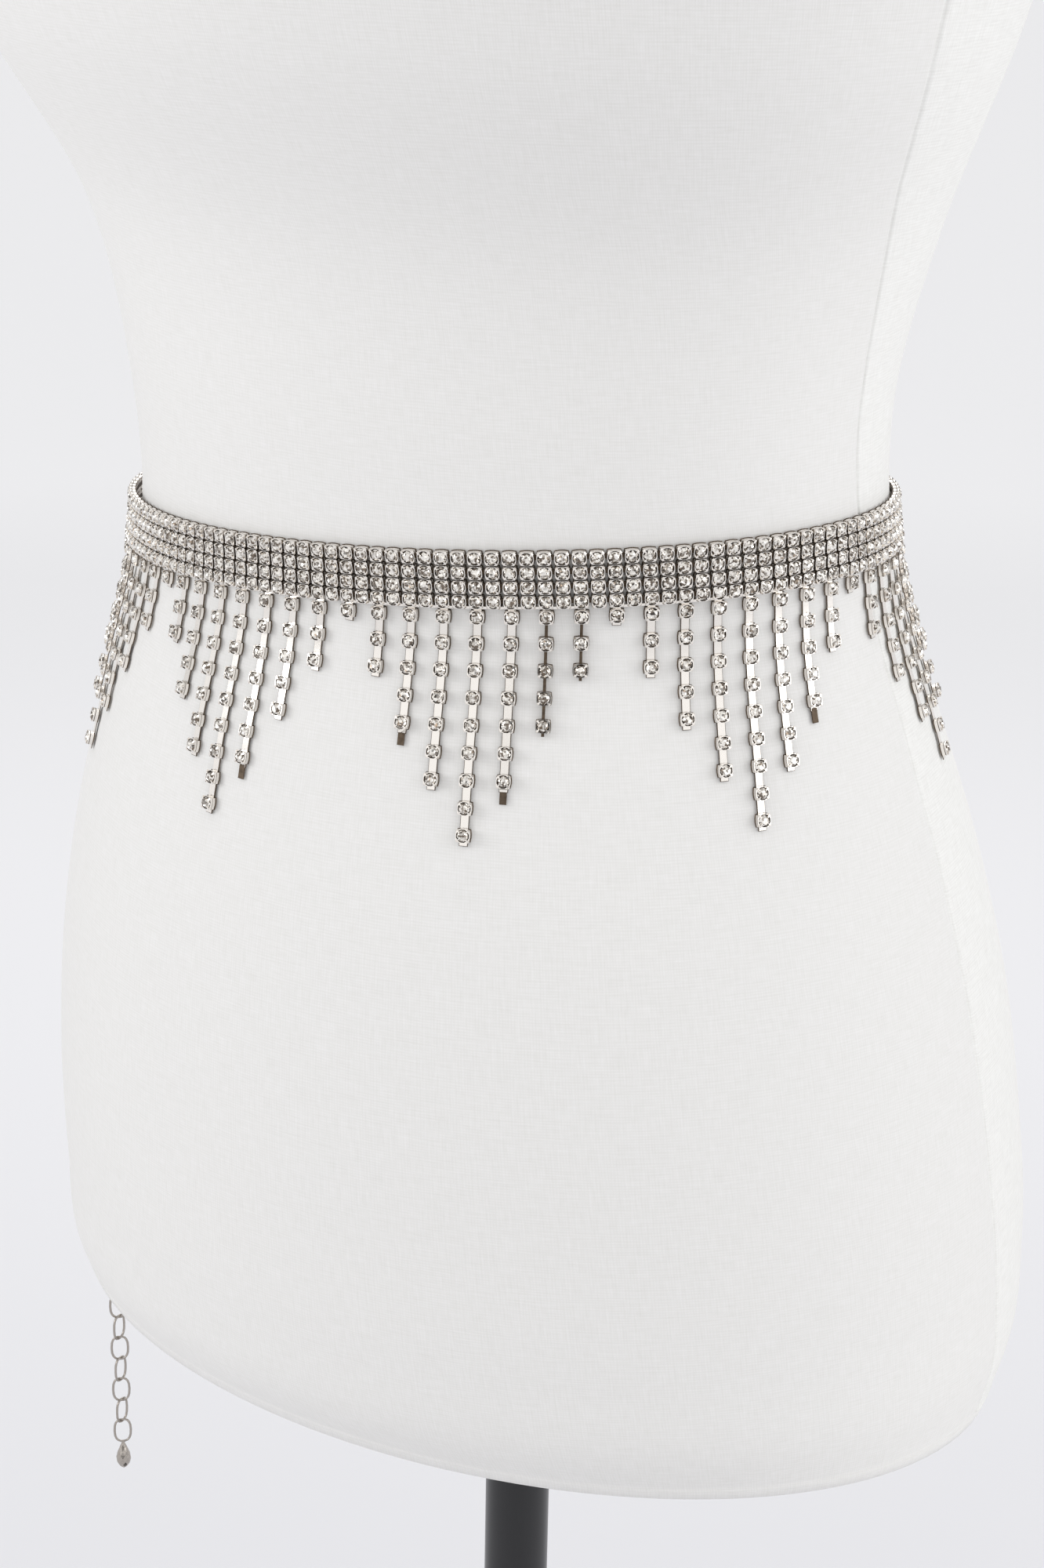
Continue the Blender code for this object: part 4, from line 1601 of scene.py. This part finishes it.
@dataclass
class Closure:
    """End bars, rings, lobster clasp, extender chain and its drop.

    Attributes:
        ring: The ring that they follow.
        gap: Distance between pieces along the belt, before they reach through each other.
        overlap: How much longer a ring is made so that it does.
        hook_past: How much longer the clasp's hook is made.
        bar_width: Width of an end bar.
        bar_trim: How much its plate is smaller than that.
        bar_thick: Its thickness.
        bar_back: Distance of its middle from the form.
        bar_steps: Its points.
        bar_edge: Size of its softened edges.
        eye: Length, width and wire of a bar's eye.
        eye_turns: Steps along that wire.
        eye_back: Distance of the eye from the form.
        ring_radius: Radius of a jump ring's wire line.
        ring_wire: The ring's wire.
        ring_slim: How much thinner its wire is drawn.
        ring_back: Distance of the rings from the form.
        ring_tilt: Angle by which they lean.
        clasp_length: Length of the clasp.
        clasp_width: Its width.
        clasp_wire: Thickness of its hook.
        clasp_taper: How much wider its nose is than its middle.
        clasp_facets: Steps along and round its hook.
        lever: Length, width and wire of the lever's thumb tab.
        lever_turns: Steps along that wire.
        lever_place: Its place from the clasp's middle: across, along and out.
        chain_pitch: Length from link to link.
        chain_links: Links in the chain.
        chain_back: Distance of the links' middles from the form.
        chain_sag: How far under the band's middle the chain leaves it.
        link_width: Width of a link.
        link_wire: Its wire.
        link_past: How much longer than the pitch it is, as a share of the wire.
        link_facets: Steps along and round its wire.
        link_probe: Length over which the chain's direction is measured.
        link_turn: Angle by which the links lean.
        link_swing: Angle by which each second one leans the other way from that.
        run_steps: Points of the chain's run along the belt.
        over_hip: Steps of a millimetre down over the hip.
        straight_down: Steps of a millimetre below it.
        upright: Downward share of a direction at which the chain hangs free.
        drop_length: Length of the drop.
        drop_radius: Its radius.
        drop_rows: Its rings.
        drop_sides: Facets round it.
        drop_top: Radius of its top.
        drop_low: Power of the share of its length that puts its belly below the middle.
        drop_round: Power of the sine that gives its outline.
        drop_belly: What the outline is multiplied by besides the radius.
    """

    ring: BeltRing
    gap: float = 0.3 * MM
    overlap: float = 0.9 * MM
    hook_past: float = 1.62 * MM
    bar_width: float = 3.0 * MM
    bar_trim: float = 0.2 * MM
    bar_thick: float = 1.0 * MM
    bar_back: float = 1.4 * MM
    bar_steps: int = 7
    bar_edge: float = 0.25 * MM
    eye: tuple[float, float, float] = (2.6 * MM, 2.2 * MM, 0.6 * MM)
    eye_turns: int = 16
    eye_back: float = 2.0 * MM
    ring_radius: float = 2.2 * MM
    ring_wire: float = 1.0 * MM
    ring_slim: float = 0.9
    ring_back: float = 2.3 * MM
    ring_tilt: float = math.radians(24)
    clasp_length: float = 11.5 * MM
    clasp_width: float = 6.2 * MM
    clasp_wire: float = 1.5 * MM
    clasp_taper: float = 0.35
    clasp_facets: tuple[int, int] = (28, 10)
    lever: tuple[float, float, float] = (3.0 * MM, 2.0 * MM, 1.0 * MM)
    lever_turns: int = 14
    lever_place: tuple[float, float, float] = (-1.984 * MM, -1.5 * MM, 0.4 * MM)
    chain_pitch: float = 9.5 * MM
    chain_links: int = 44
    chain_back: float = 3.6 * MM
    chain_sag: float = 2.0 * MM
    link_width: float = 7.4 * MM
    link_wire: float = 0.95 * MM
    link_past: float = 1.7
    link_facets: tuple[int, int] = (18, 6)
    link_probe: float = 2.0 * MM
    link_turn: float = math.radians(-30)
    link_swing: float = math.radians(25)
    run_steps: int = 12
    over_hip: int = 300
    straight_down: int = 250
    upright: float = 0.9995
    drop_length: float = 13.0 * MM
    drop_radius: float = 2.9 * MM
    drop_rows: int = 10
    drop_sides: int = 9
    drop_top: float = 0.35 * MM
    drop_low: float = 1.5
    drop_round: float = 0.8
    drop_belly: float = 0.98

    def build(self, metal: bpy.types.Material, chain_metal: bpy.types.Material) -> None:
        """Adds each piece of the closure.

        Args:
            metal: The metal of the bars, rings and clasp.
            chain_metal: The metal of the chain and its drop.
        """
        ring = self.ring
        columns = ring.columns()
        half = ring.stone_pitch / 2
        band_start = ring.strand_phase + columns[0] * ring.stone_pitch - half
        band_end = ring.strand_phase + columns[-1] * ring.stone_pitch + half
        self.bar("end_bar_front", band_start - self.gap - self.bar_width / 2, -1.0, metal)
        self.bar("end_bar_back", band_end + self.gap + self.bar_width / 2, 1.0, metal)
        reach = self.ring_radius + self.ring_wire / 2
        front = band_start - 2 * self.gap - self.bar_width - reach
        back = band_end + 2 * self.gap + self.bar_width + reach
        clasp = back + reach + self.gap + self.clasp_length / 2
        size = 2 * reach + self.overlap
        round_link = WireLink(size, size, self.ring_wire * self.ring_slim)
        self.lay("ring_front", front, round_link, metal)
        self.lay("ring_back", self.wrap(back), round_link, metal)
        self.clasp(self.wrap(clasp), metal)
        start = front - reach - self.gap
        turn = clasp + self.clasp_length / 2 - ring.whole + self.gap + self.link_width / 2
        self.chain(start, turn, chain_metal)

    def wrap(self, length: float) -> float:
        """A length past the measured end taken once round.

        Args:
            length: A length round the belt.

        Returns:
            The same place within the measured lengths.
        """
        return length - self.ring.whole if length > self.ring.lengths[-1] - MM else length

    def bar(self, name: str, length: float, eye_side: float, metal: bpy.types.Material) -> None:
        """A plated end bar across the four rows, with softened edges and a wire eye that holds its ring.

        Args:
            name: The bar's name.
            length: Length round the belt of its middle.
            eye_side: Plus one where the eye is further along the belt, and minus one where it is before.
            metal: Its metal.
        """
        ring = self.ring
        low = ring.band_bottom + self.bar_trim
        high = low + ring.rows * ring.row_pitch - 2 * self.bar_trim
        rises = np.linspace(high, low, self.bar_steps)
        spots, axes = ring.frames(np.full(self.bar_steps, length), rises, self.bar_back)
        strip = ribbon(spots[None], axes[None], self.bar_width - self.bar_trim, self.bar_thick)
        place = length + eye_side * (self.bar_width / 2 + self.gap)
        eye_spot, eye_axes = ring.frames(np.array([place]), ring.middle_rise, self.eye_back)
        wire = WireLink(*self.eye, turns=self.eye_turns).shell()
        eye = repeat_shell(wire, eye_spot, eye_axes[:, [2, 0, 1]])
        piece = add_piece(f"{name}_plate", join_shells([strip, eye]), [metal], (name,))
        bevel = piece.modifiers.new("soft_edges", "BEVEL")
        bevel.width = self.bar_edge
        bevel.segments = 2

    def lay(self, name: str, length: float, link: WireLink, metal: bpy.types.Material) -> None:
        """One link beside the form, tilted about the belt's line so that it passes through its neighbours.

        Args:
            name: The ring's name.
            length: Length round the belt of its middle.
            link: Its shape.
            metal: Its metal.
        """
        spots, axes = self.ring.frames(np.array([length]), self.ring.middle_rise, self.ring_back)
        along = axes[:, 0]
        up = axes[:, 1] * math.cos(self.ring_tilt) + axes[:, 2] * math.sin(self.ring_tilt)
        turned = np.stack([along, up, np.cross(along, up)], axis=1)
        shell = repeat_shell(link.shell(), spots, turned)
        add_piece(f"{name}_wire", shell, [metal], (name,), smooth=True)

    def clasp(self, length: float, metal: bpy.types.Material) -> None:
        """A lobster clasp: a hook that is widest at its nose, and the thumb tab of its sprung lever.

        The hook is a wire link whose width and thickness are multiplied by one plus a sine of the length.

        Args:
            length: Length round the belt of its middle.
            metal: Its metal.
        """
        spots, axes = self.ring.frames(np.array([length]), self.ring.middle_rise, self.eye_back)
        turned = axes[:, [1, 0, 2]] * np.array([-1.0, 1.0, 1.0])[:, None]
        long = self.clasp_length + self.hook_past
        hook = WireLink(long, self.clasp_width, self.clasp_wire, *self.clasp_facets).shell()
        widen = 1 + self.clasp_taper * np.sin(hook.points[:, 1] / self.clasp_length * math.pi)
        hook = Shell(hook.points * np.stack([widen, np.ones_like(widen), widen], axis=-1), hook.faces)
        lever = WireLink(*self.lever, turns=self.lever_turns).shell()
        lever = Shell(lever.points + np.array(self.lever_place), lever.faces)
        shells = [repeat_shell(part, spots, turned) for part in (hook, lever)]
        add_piece("clasp_hook", join_shells(shells), [metal], ("clasp",), smooth=True)

    def chain(self, start: float, turn: float, metal: bpy.types.Material) -> None:
        """The chain's links along the belt to the clasp, down over the hip and straight down, and the drop.

        Args:
            start: Length round the belt where the chain starts.
            turn: Length where it turns down.
            metal: Its metal.
        """
        ring = self.ring
        angles = np.interp(np.linspace(start, turn, self.run_steps), ring.lengths, ring.angles)
        level = ring.at_angle(angles, ring.middle_rise, 0.0)
        top = ring.at_angle(angles[-1:], ring.middle_rise - self.chain_sag, 0.0)
        path, _, ways = ring.form.walk_down(top, self.over_hip, MM)
        last = int(np.argmax(ways[:, 0, 2] < -self.upright))
        fall = path[last, 0] - np.arange(1, self.straight_down)[:, None] * np.array([0.0, 0.0, MM])
        line = np.concatenate([level, path[: last + 1, 0], fall])
        length = np.concatenate([[0.0], np.cumsum(np.linalg.norm(np.diff(line, axis=0), axis=1))])
        place = (np.arange(self.chain_links) + 0.5) * self.chain_pitch
        spot = read_path(line, length, place)
        way = unit_rows(read_path(line, length, place + self.link_probe) - spot)
        flat = np.column_stack([spot[:, :2], np.maximum(spot[:, 2], ring.form.sections[1][0])])
        out, _ = ring.form.normal(flat)
        out = unit_rows(out - way * (out * way).sum(axis=1, keepdims=True))
        side = np.cross(way, out)
        odd = np.arange(self.chain_links)[:, None] % 2
        lean = self.link_turn + np.where(odd, -1.0, 1.0) * self.link_swing
        across = side * np.cos(lean) + out * np.sin(lean)
        axes = np.stack([across, way, np.cross(across, way)], axis=1)
        long = self.chain_pitch + self.link_past * self.link_wire
        link = WireLink(long, self.link_width, self.link_wire, *self.link_facets)
        links = repeat_shell(link.shell(), spot + out * self.chain_back, axes)
        add_piece("extender_links", links, [metal], ("extender_chain",), smooth=True)
        end = read_path(line, length, np.array([self.chain_links * self.chain_pitch]))[0]
        self.drop(end + out[-1] * self.chain_back, metal)

    def drop(self, top: Array, metal: bpy.types.Material) -> None:
        """The drop: a half teardrop turned about its own upright axis, cut into flat facets.

        Its radius is a power of a sine of a power of the share of its length, plus the top's, which goes to
        nothing at the foot. Every second ring is turned by half a facet, so that the facets between two rings
        are triangles.

        Args:
            top: Where it hangs.
            metal: Its metal.
        """
        rows, sides = self.drop_rows, self.drop_sides
        share = np.linspace(0, 1, rows)
        belly = np.sin(np.pi * share**self.drop_low) ** self.drop_round * self.drop_belly
        radius = self.drop_radius * belly + self.drop_top * (1 - share)
        height = top[2] - self.drop_length * share
        turn = (np.arange(sides)[None, :] + 0.5 * (np.arange(rows)[:, None] % 2)) * 2 * math.pi / sides
        x = top[0] + radius[:, None] * np.cos(turn)
        y = top[1] + radius[:, None] * np.sin(turn)
        points = np.stack([x, y, np.broadcast_to(height[:, None], x.shape)], axis=-1).reshape(-1, 3)
        low, side = np.arange(rows - 1)[:, None] * sides, np.arange(sides)[None, :]
        after = (side + 1) % sides
        odd = (np.arange(rows - 1) % 2)[:, None].astype(bool)
        upper = np.stack([low + side, low + after, low + sides + np.where(odd, after, side)], axis=-1)
        lower = np.stack([low + sides + after, low + sides + side, low + np.where(odd, side, after)], axis=-1)
        triangles = np.concatenate([upper.reshape(-1, 3), lower.reshape(-1, 3)])[:, ::-1]
        ends = [np.arange(sides)[None], (np.arange(sides) + (rows - 1) * sides)[::-1][None]]
        add_piece("drop_facets", Shell(points, [triangles] + ends), [metal], ("extender_drop",))


# Stand and room


@dataclass
class Stand:
    """The black pole and its round base.

    Attributes:
        pole_radius: Radius of the pole.
        pole_top: Height of its top.
        pole_gap: Height between the collar and the pole.
        base_radius: Radius of the base.
        base_height: Height of its rim.
        collar_radius: Radius of the collar that holds the pole.
        collar_height: Height of the collar's top.
        fillet: Radius of every rounded edge.
        fillet_steps: Points round such an edge.
        sides: Sides of the base and of the pole.
        sharp: Angle from which an edge stays sharp.
    """

    pole_radius: float = 11.7 * MM
    pole_top: float = 0.7167
    pole_gap: float = 0.3 * MM
    base_radius: float = 150.0 * MM
    base_height: float = 8.0 * MM
    collar_radius: float = 20.0 * MM
    collar_height: float = 26.0 * MM
    fillet: float = 3.0 * MM
    fillet_steps: int = 5
    sides: tuple[int, int] = (128, 64)
    sharp: float = math.radians(40)

    def lathe(self, profile: Array, sides: int) -> Shell:
        """A profile turned about the z axis, with flat ends.

        Args:
            profile: Rows of radius and height.
            sides: Sides round it.

        Returns:
            The closed solid.
        """
        turn = np.arange(sides) * 2 * math.pi / sides
        x = profile[:, :1] * np.cos(turn)
        y = profile[:, :1] * np.sin(turn)
        z = np.broadcast_to(profile[:, 1:], x.shape)
        points = np.stack([x, y, z], axis=-1).reshape(-1, 3)
        rows = len(profile)
        ends = [np.arange(sides)[::-1][None], (np.arange(sides) + (rows - 1) * sides)[None]]
        return Shell(points, [grid_faces(rows, sides, True)] + ends)

    def build(self, enamel: bpy.types.Material) -> None:
        """Adds the base with rounded edges, and the pole.

        Each edge is a quarter circle about a centre in the profile: the base's lower and upper edge, the foot
        of the collar and its top.

        Args:
            enamel: The coat of both.
        """
        turn = np.linspace(0, math.pi / 2, self.fillet_steps)
        across, up = np.sin(turn) * self.fillet, np.cos(turn) * self.fillet
        outer, collar = self.base_radius - self.fillet, self.collar_radius - self.fillet
        edges = (
            (outer + across, self.fillet - up),
            (outer + up, self.base_height - self.fillet + across),
            (self.collar_radius + self.fillet - across, self.base_height + self.fillet - up),
            (collar + up, self.collar_height - self.fillet + across),
        )
        base = np.concatenate([np.column_stack(edge) for edge in edges])
        pole_foot = self.collar_height + self.pole_gap
        pole = np.array([[self.pole_radius, pole_foot], [self.pole_radius, self.pole_top]])
        pieces = (("base_plate", "stand_base", base), ("pole_tube", "stand_pole", pole))
        for (name, node, profile), sides in zip(pieces, self.sides):
            piece = add_piece(name, self.lathe(profile, sides), [enamel], (node,), smooth=True)
            piece.data.set_sharp_from_angle(angle=self.sharp)


@dataclass(frozen=True)
class Softbox:
    """A square area light that faces the belt.

    Attributes:
        name: Its name.
        azimuth: Degrees round from the camera, positive to its right.
        elevation: Degrees above the belt.
        reach: Distance from the belt.
        size: Side of the square.
        power: Watts.
    """

    name: str
    azimuth: float
    elevation: float
    reach: float
    size: float
    power: float

    def build(self, camera_azimuth: float, target: Array) -> None:
        """Adds the light, with its back to the room and its face to the target.

        Args:
            camera_azimuth: The camera's own angle round the form.
            target: Where it aims.
        """
        lamp = bpy.data.lights.new(self.name, "AREA")
        lamp.size = self.size
        lamp.energy = self.power
        item = bpy.data.objects.new(self.name, lamp)
        bpy.context.scene.collection.objects.link(item)
        turn = camera_azimuth + math.radians(self.azimuth)
        rise = math.radians(self.elevation)
        away = np.array([math.sin(turn) * math.cos(rise), -math.cos(turn) * math.cos(rise), math.sin(rise)])
        right = np.array([math.cos(turn), math.sin(turn), 0.0])
        matrix = np.eye(4)
        matrix[:3, 0], matrix[:3, 1], matrix[:3, 2] = right, np.cross(away, right), away
        matrix[:3, 3] = target + away * self.reach
        item.matrix_world = Matrix(matrix.tolist())


@dataclass
class Studio:
    """Pale paper floor, soft lights and the camera.

    Attributes:
        azimuth: The camera's angle round the form from its front.
        pitch: Its angle down.
        roll: Its turn about its own line of sight.
        distance: Its distance from the aim.
        aim_x: Place of the middle of the frame, to the camera's left.
        aim_y: Place of the form's middle along y.
        aim_z: Height of the middle of the frame.
        focal_pixels: The lens's length in pixels of the frame.
        frame_pixels: The frame's long side.
        sensor: The same side in millimetres.
        belt_height: Height that the lights aim at.
        boxes: The soft lights.
        room_power: Strength of the white room.
        behind: Share of it behind the form.
        behind_range: Where that starts and is whole, on the axis away from the camera.
        ceiling: Share of it overhead.
        ceiling_range: The same for the ceiling, on the upward axis.
        post_place: Place to each side of the dark posts.
        post_width: Half their width.
        post_edge: Where their soft edge ends, as a share of that.
        post_shade: How bright they are.
        stand_left: How far the dark camera stand lies to the left.
        stand_range: Half its width where it is dark and where it ends.
        stand_top: Heights where it fades.
        stand_shade: How bright it is.
        floor_reach: Half the floor's side.
        floor_drop: How far the floor lies under the base.
        backdrop: Colour behind the floor's edge.
    """

    azimuth: float = math.radians(28.0)
    pitch: float = math.radians(20.33)
    roll: float = math.radians(1.104)
    distance: float = 0.9549
    aim_x: float = -6.1 * MM
    aim_y: float = -20.0 * MM
    aim_z: float = 0.918
    focal_pixels: float = 3683.3
    frame_pixels: float = 2000.0
    sensor: float = 36.0
    belt_height: float = 1.0
    boxes: tuple[Softbox, ...] = (
        Softbox("left_box", -70, 18, 1.8, 0.8, 8.2),
        Softbox("right_box", 70, 18, 1.8, 1.6, 10.0),
        Softbox("back_box", 180, 30, 2.4, 1.8, 14.0),
    )
    room_power: float = 1.03
    behind: float = 0.5
    behind_range: tuple[float, float] = (-0.1, 0.5)
    ceiling: float = 0.80
    ceiling_range: tuple[float, float] = (0.60, 0.72)
    post_place: float = 0.80
    post_width: float = 0.03
    post_edge: float = 1.6
    post_shade: float = 0.2
    stand_left: float = 0.05
    stand_range: tuple[float, float] = (0.12, 0.18)
    stand_top: tuple[float, float] = (0.45, 0.55)
    stand_shade: float = 0.12
    floor_reach: float = 40.0
    floor_drop: float = 0.5 * MM
    backdrop: str = "EEEEF1"

    def camera(self) -> None:
        """Places the camera at the photo's angle, looking down at the belt from its front and left."""
        lens = bpy.data.cameras.new("camera")
        lens.sensor_width = self.sensor
        lens.lens = self.focal_pixels / self.frame_pixels * self.sensor
        lens.clip_start = 0.05
        camera = bpy.data.objects.new("camera", lens)
        bpy.context.scene.collection.objects.link(camera)
        right = np.array([math.cos(self.azimuth), math.sin(self.azimuth), 0.0])
        ahead = np.array([-math.sin(self.azimuth), math.cos(self.azimuth), 0.0])
        look = ahead * math.cos(self.pitch) - np.array([0.0, 0.0, math.sin(self.pitch)])
        up = np.cross(right, look)
        aim = np.array([0.0, self.aim_y, self.aim_z]) - right * self.aim_x
        place = aim - look * self.distance
        turned_right = right * math.cos(self.roll) + up * math.sin(self.roll)
        turned_up = -right * math.sin(self.roll) + up * math.cos(self.roll)
        matrix = np.eye(4)
        matrix[:3, 0], matrix[:3, 1], matrix[:3, 2], matrix[:3, 3] = turned_right, turned_up, -look, place
        camera.matrix_world = Matrix(matrix.tolist())
        bpy.context.scene.camera = camera

    def paper(self, material: bpy.types.Material) -> None:
        """A flat sheet that runs out of sight on every side.

        Args:
            material: Its paper.
        """
        corners = np.array([[-1.0, -1.0, 0.0], [1.0, -1.0, 0.0], [1.0, 1.0, 0.0], [-1.0, 1.0, 0.0]])
        points = corners * self.floor_reach - np.array([0.0, 0.0, self.floor_drop])
        mesh = bpy.data.meshes.new("paper_floor")
        mesh.from_pydata(points.tolist(), [], [(0, 1, 2, 3)])
        mesh.materials.append(material)
        sheet = bpy.data.objects.new("paper_floor", mesh)
        bpy.context.scene.collection.objects.link(sheet)

    def lights(self) -> None:
        """Two side lights, a broad one behind, and the room."""
        for box in self.boxes:
            box.build(self.azimuth, np.array([0.0, self.aim_y, self.belt_height]))
        self.room()
        bpy.context.scene.view_settings.view_transform = "Standard"

    def room(self) -> None:
        """A white room with the dark things that bright metal mirrors.

        The direction is turned so that its y axis points away from the camera. The room is bright on the
        camera's side and dimmer behind the form; it has a dark ceiling, dark posts to each side, and the
        dark camera stand that the middle of the belt sends back.
        """
        world = bpy.data.worlds.new("white_room")
        world.use_nodes = True
        world.node_tree.nodes.clear()
        way = add_node(world, "ShaderNodeTexCoord")
        turned = add_node(
            world,
            "ShaderNodeVectorRotate",
            {"rotation_type": "Z_AXIS"},
            Vector=way.outputs["Generated"],
            Angle=-self.azimuth,
        )
        across, ahead, up = add_node(world, "ShaderNodeSeparateXYZ", Vector=turned.outputs[0]).outputs
        moved = add_node(world, "ShaderNodeMath", {"operation": "ADD"}, s0=across, s1=self.stand_left)
        aside = add_node(world, "ShaderNodeMath", {"operation": "ABSOLUTE"}, s0=moved.outputs[0])
        post = add_node(
            world, "ShaderNodeMath", {"operation": "SUBTRACT"}, s0=aside.outputs[0], s1=self.post_place
        )
        post_off = add_node(world, "ShaderNodeMath", {"operation": "ABSOLUTE"}, s0=post.outputs[0])
        post_range = (self.post_width, self.post_width * self.post_edge)
        steps = (
            (ahead, self.behind_range, (1.0, self.behind)),
            (up, self.ceiling_range, (1.0, self.ceiling)),
            (post_off.outputs[0], post_range, (self.post_shade, 1.0)),
            (aside.outputs[0], self.stand_range, (self.stand_shade, 1.0)),
            (up, self.stand_top, (0.0, 1.0)),
        )
        shades = []
        for value, span, result in steps:
            shade = add_node(world, "ShaderNodeMapRange", {"interpolation_type": "SMOOTHSTEP"}, s0=value)
            for number, setting in enumerate(span + result):
                shade.inputs[number + 1].default_value = setting
            shades.append(shade.outputs[0])
        behind, ceiling, posts, stand, above = shades
        front = add_node(world, "ShaderNodeMath", {"operation": "GREATER_THAN"}, s0=ahead, s1=0.0)
        clear = add_node(world, "ShaderNodeMath", {"operation": "MAXIMUM"}, s0=stand, s1=front.outputs[0])
        open_air = add_node(world, "ShaderNodeMath", {"operation": "MAXIMUM"}, s0=clear.outputs[0], s1=above)
        strength = behind
        for factor in (ceiling, posts, open_air.outputs[0], self.room_power):
            product = add_node(world, "ShaderNodeMath", {"operation": "MULTIPLY"}, s0=strength, s1=factor)
            strength = product.outputs[0]
        lit = add_node(world, "ShaderNodeBackground", Color=linear("FFFFFF"), Strength=strength)
        seen = add_node(world, "ShaderNodeBackground", Color=linear(self.backdrop), Strength=1.0)
        ray = add_node(world, "ShaderNodeLightPath")
        both = add_node(
            world,
            "ShaderNodeMixShader",
            s0=ray.outputs["Is Camera Ray"],
            s1=lit.outputs[0],
            s2=seen.outputs[0],
        )
        add_node(world, "ShaderNodeOutputWorld", Surface=both.outputs[0])
        bpy.context.scene.world = world


def main() -> None:
    """Builds the studio, the form and stand, and then the belt from its band outwards."""
    logging.basicConfig(level=logging.INFO, format="%(message)s")
    studio = Studio()
    studio.camera()
    studio.paper(StudioPaper().build())
    studio.lights()
    form = DressForm()
    form.build(WovenLinen().build())
    Stand().build(BlackEnamel().build())
    metal = SilverPlate().build()
    ring = BeltRing(form)
    jeweller = Jeweller(StoneCup(), metal, TarnishAndShadeSilver().build(), FoiledCrystal().build())
    StoneBand(ring).build(jeweller)
    Fringe(ring).build(jeweller)
    Closure(ring).build(metal, SilverPlate("worn_silver_plate", "B4ADA6", 0.24).build())


if __name__ == "__main__":
    main()
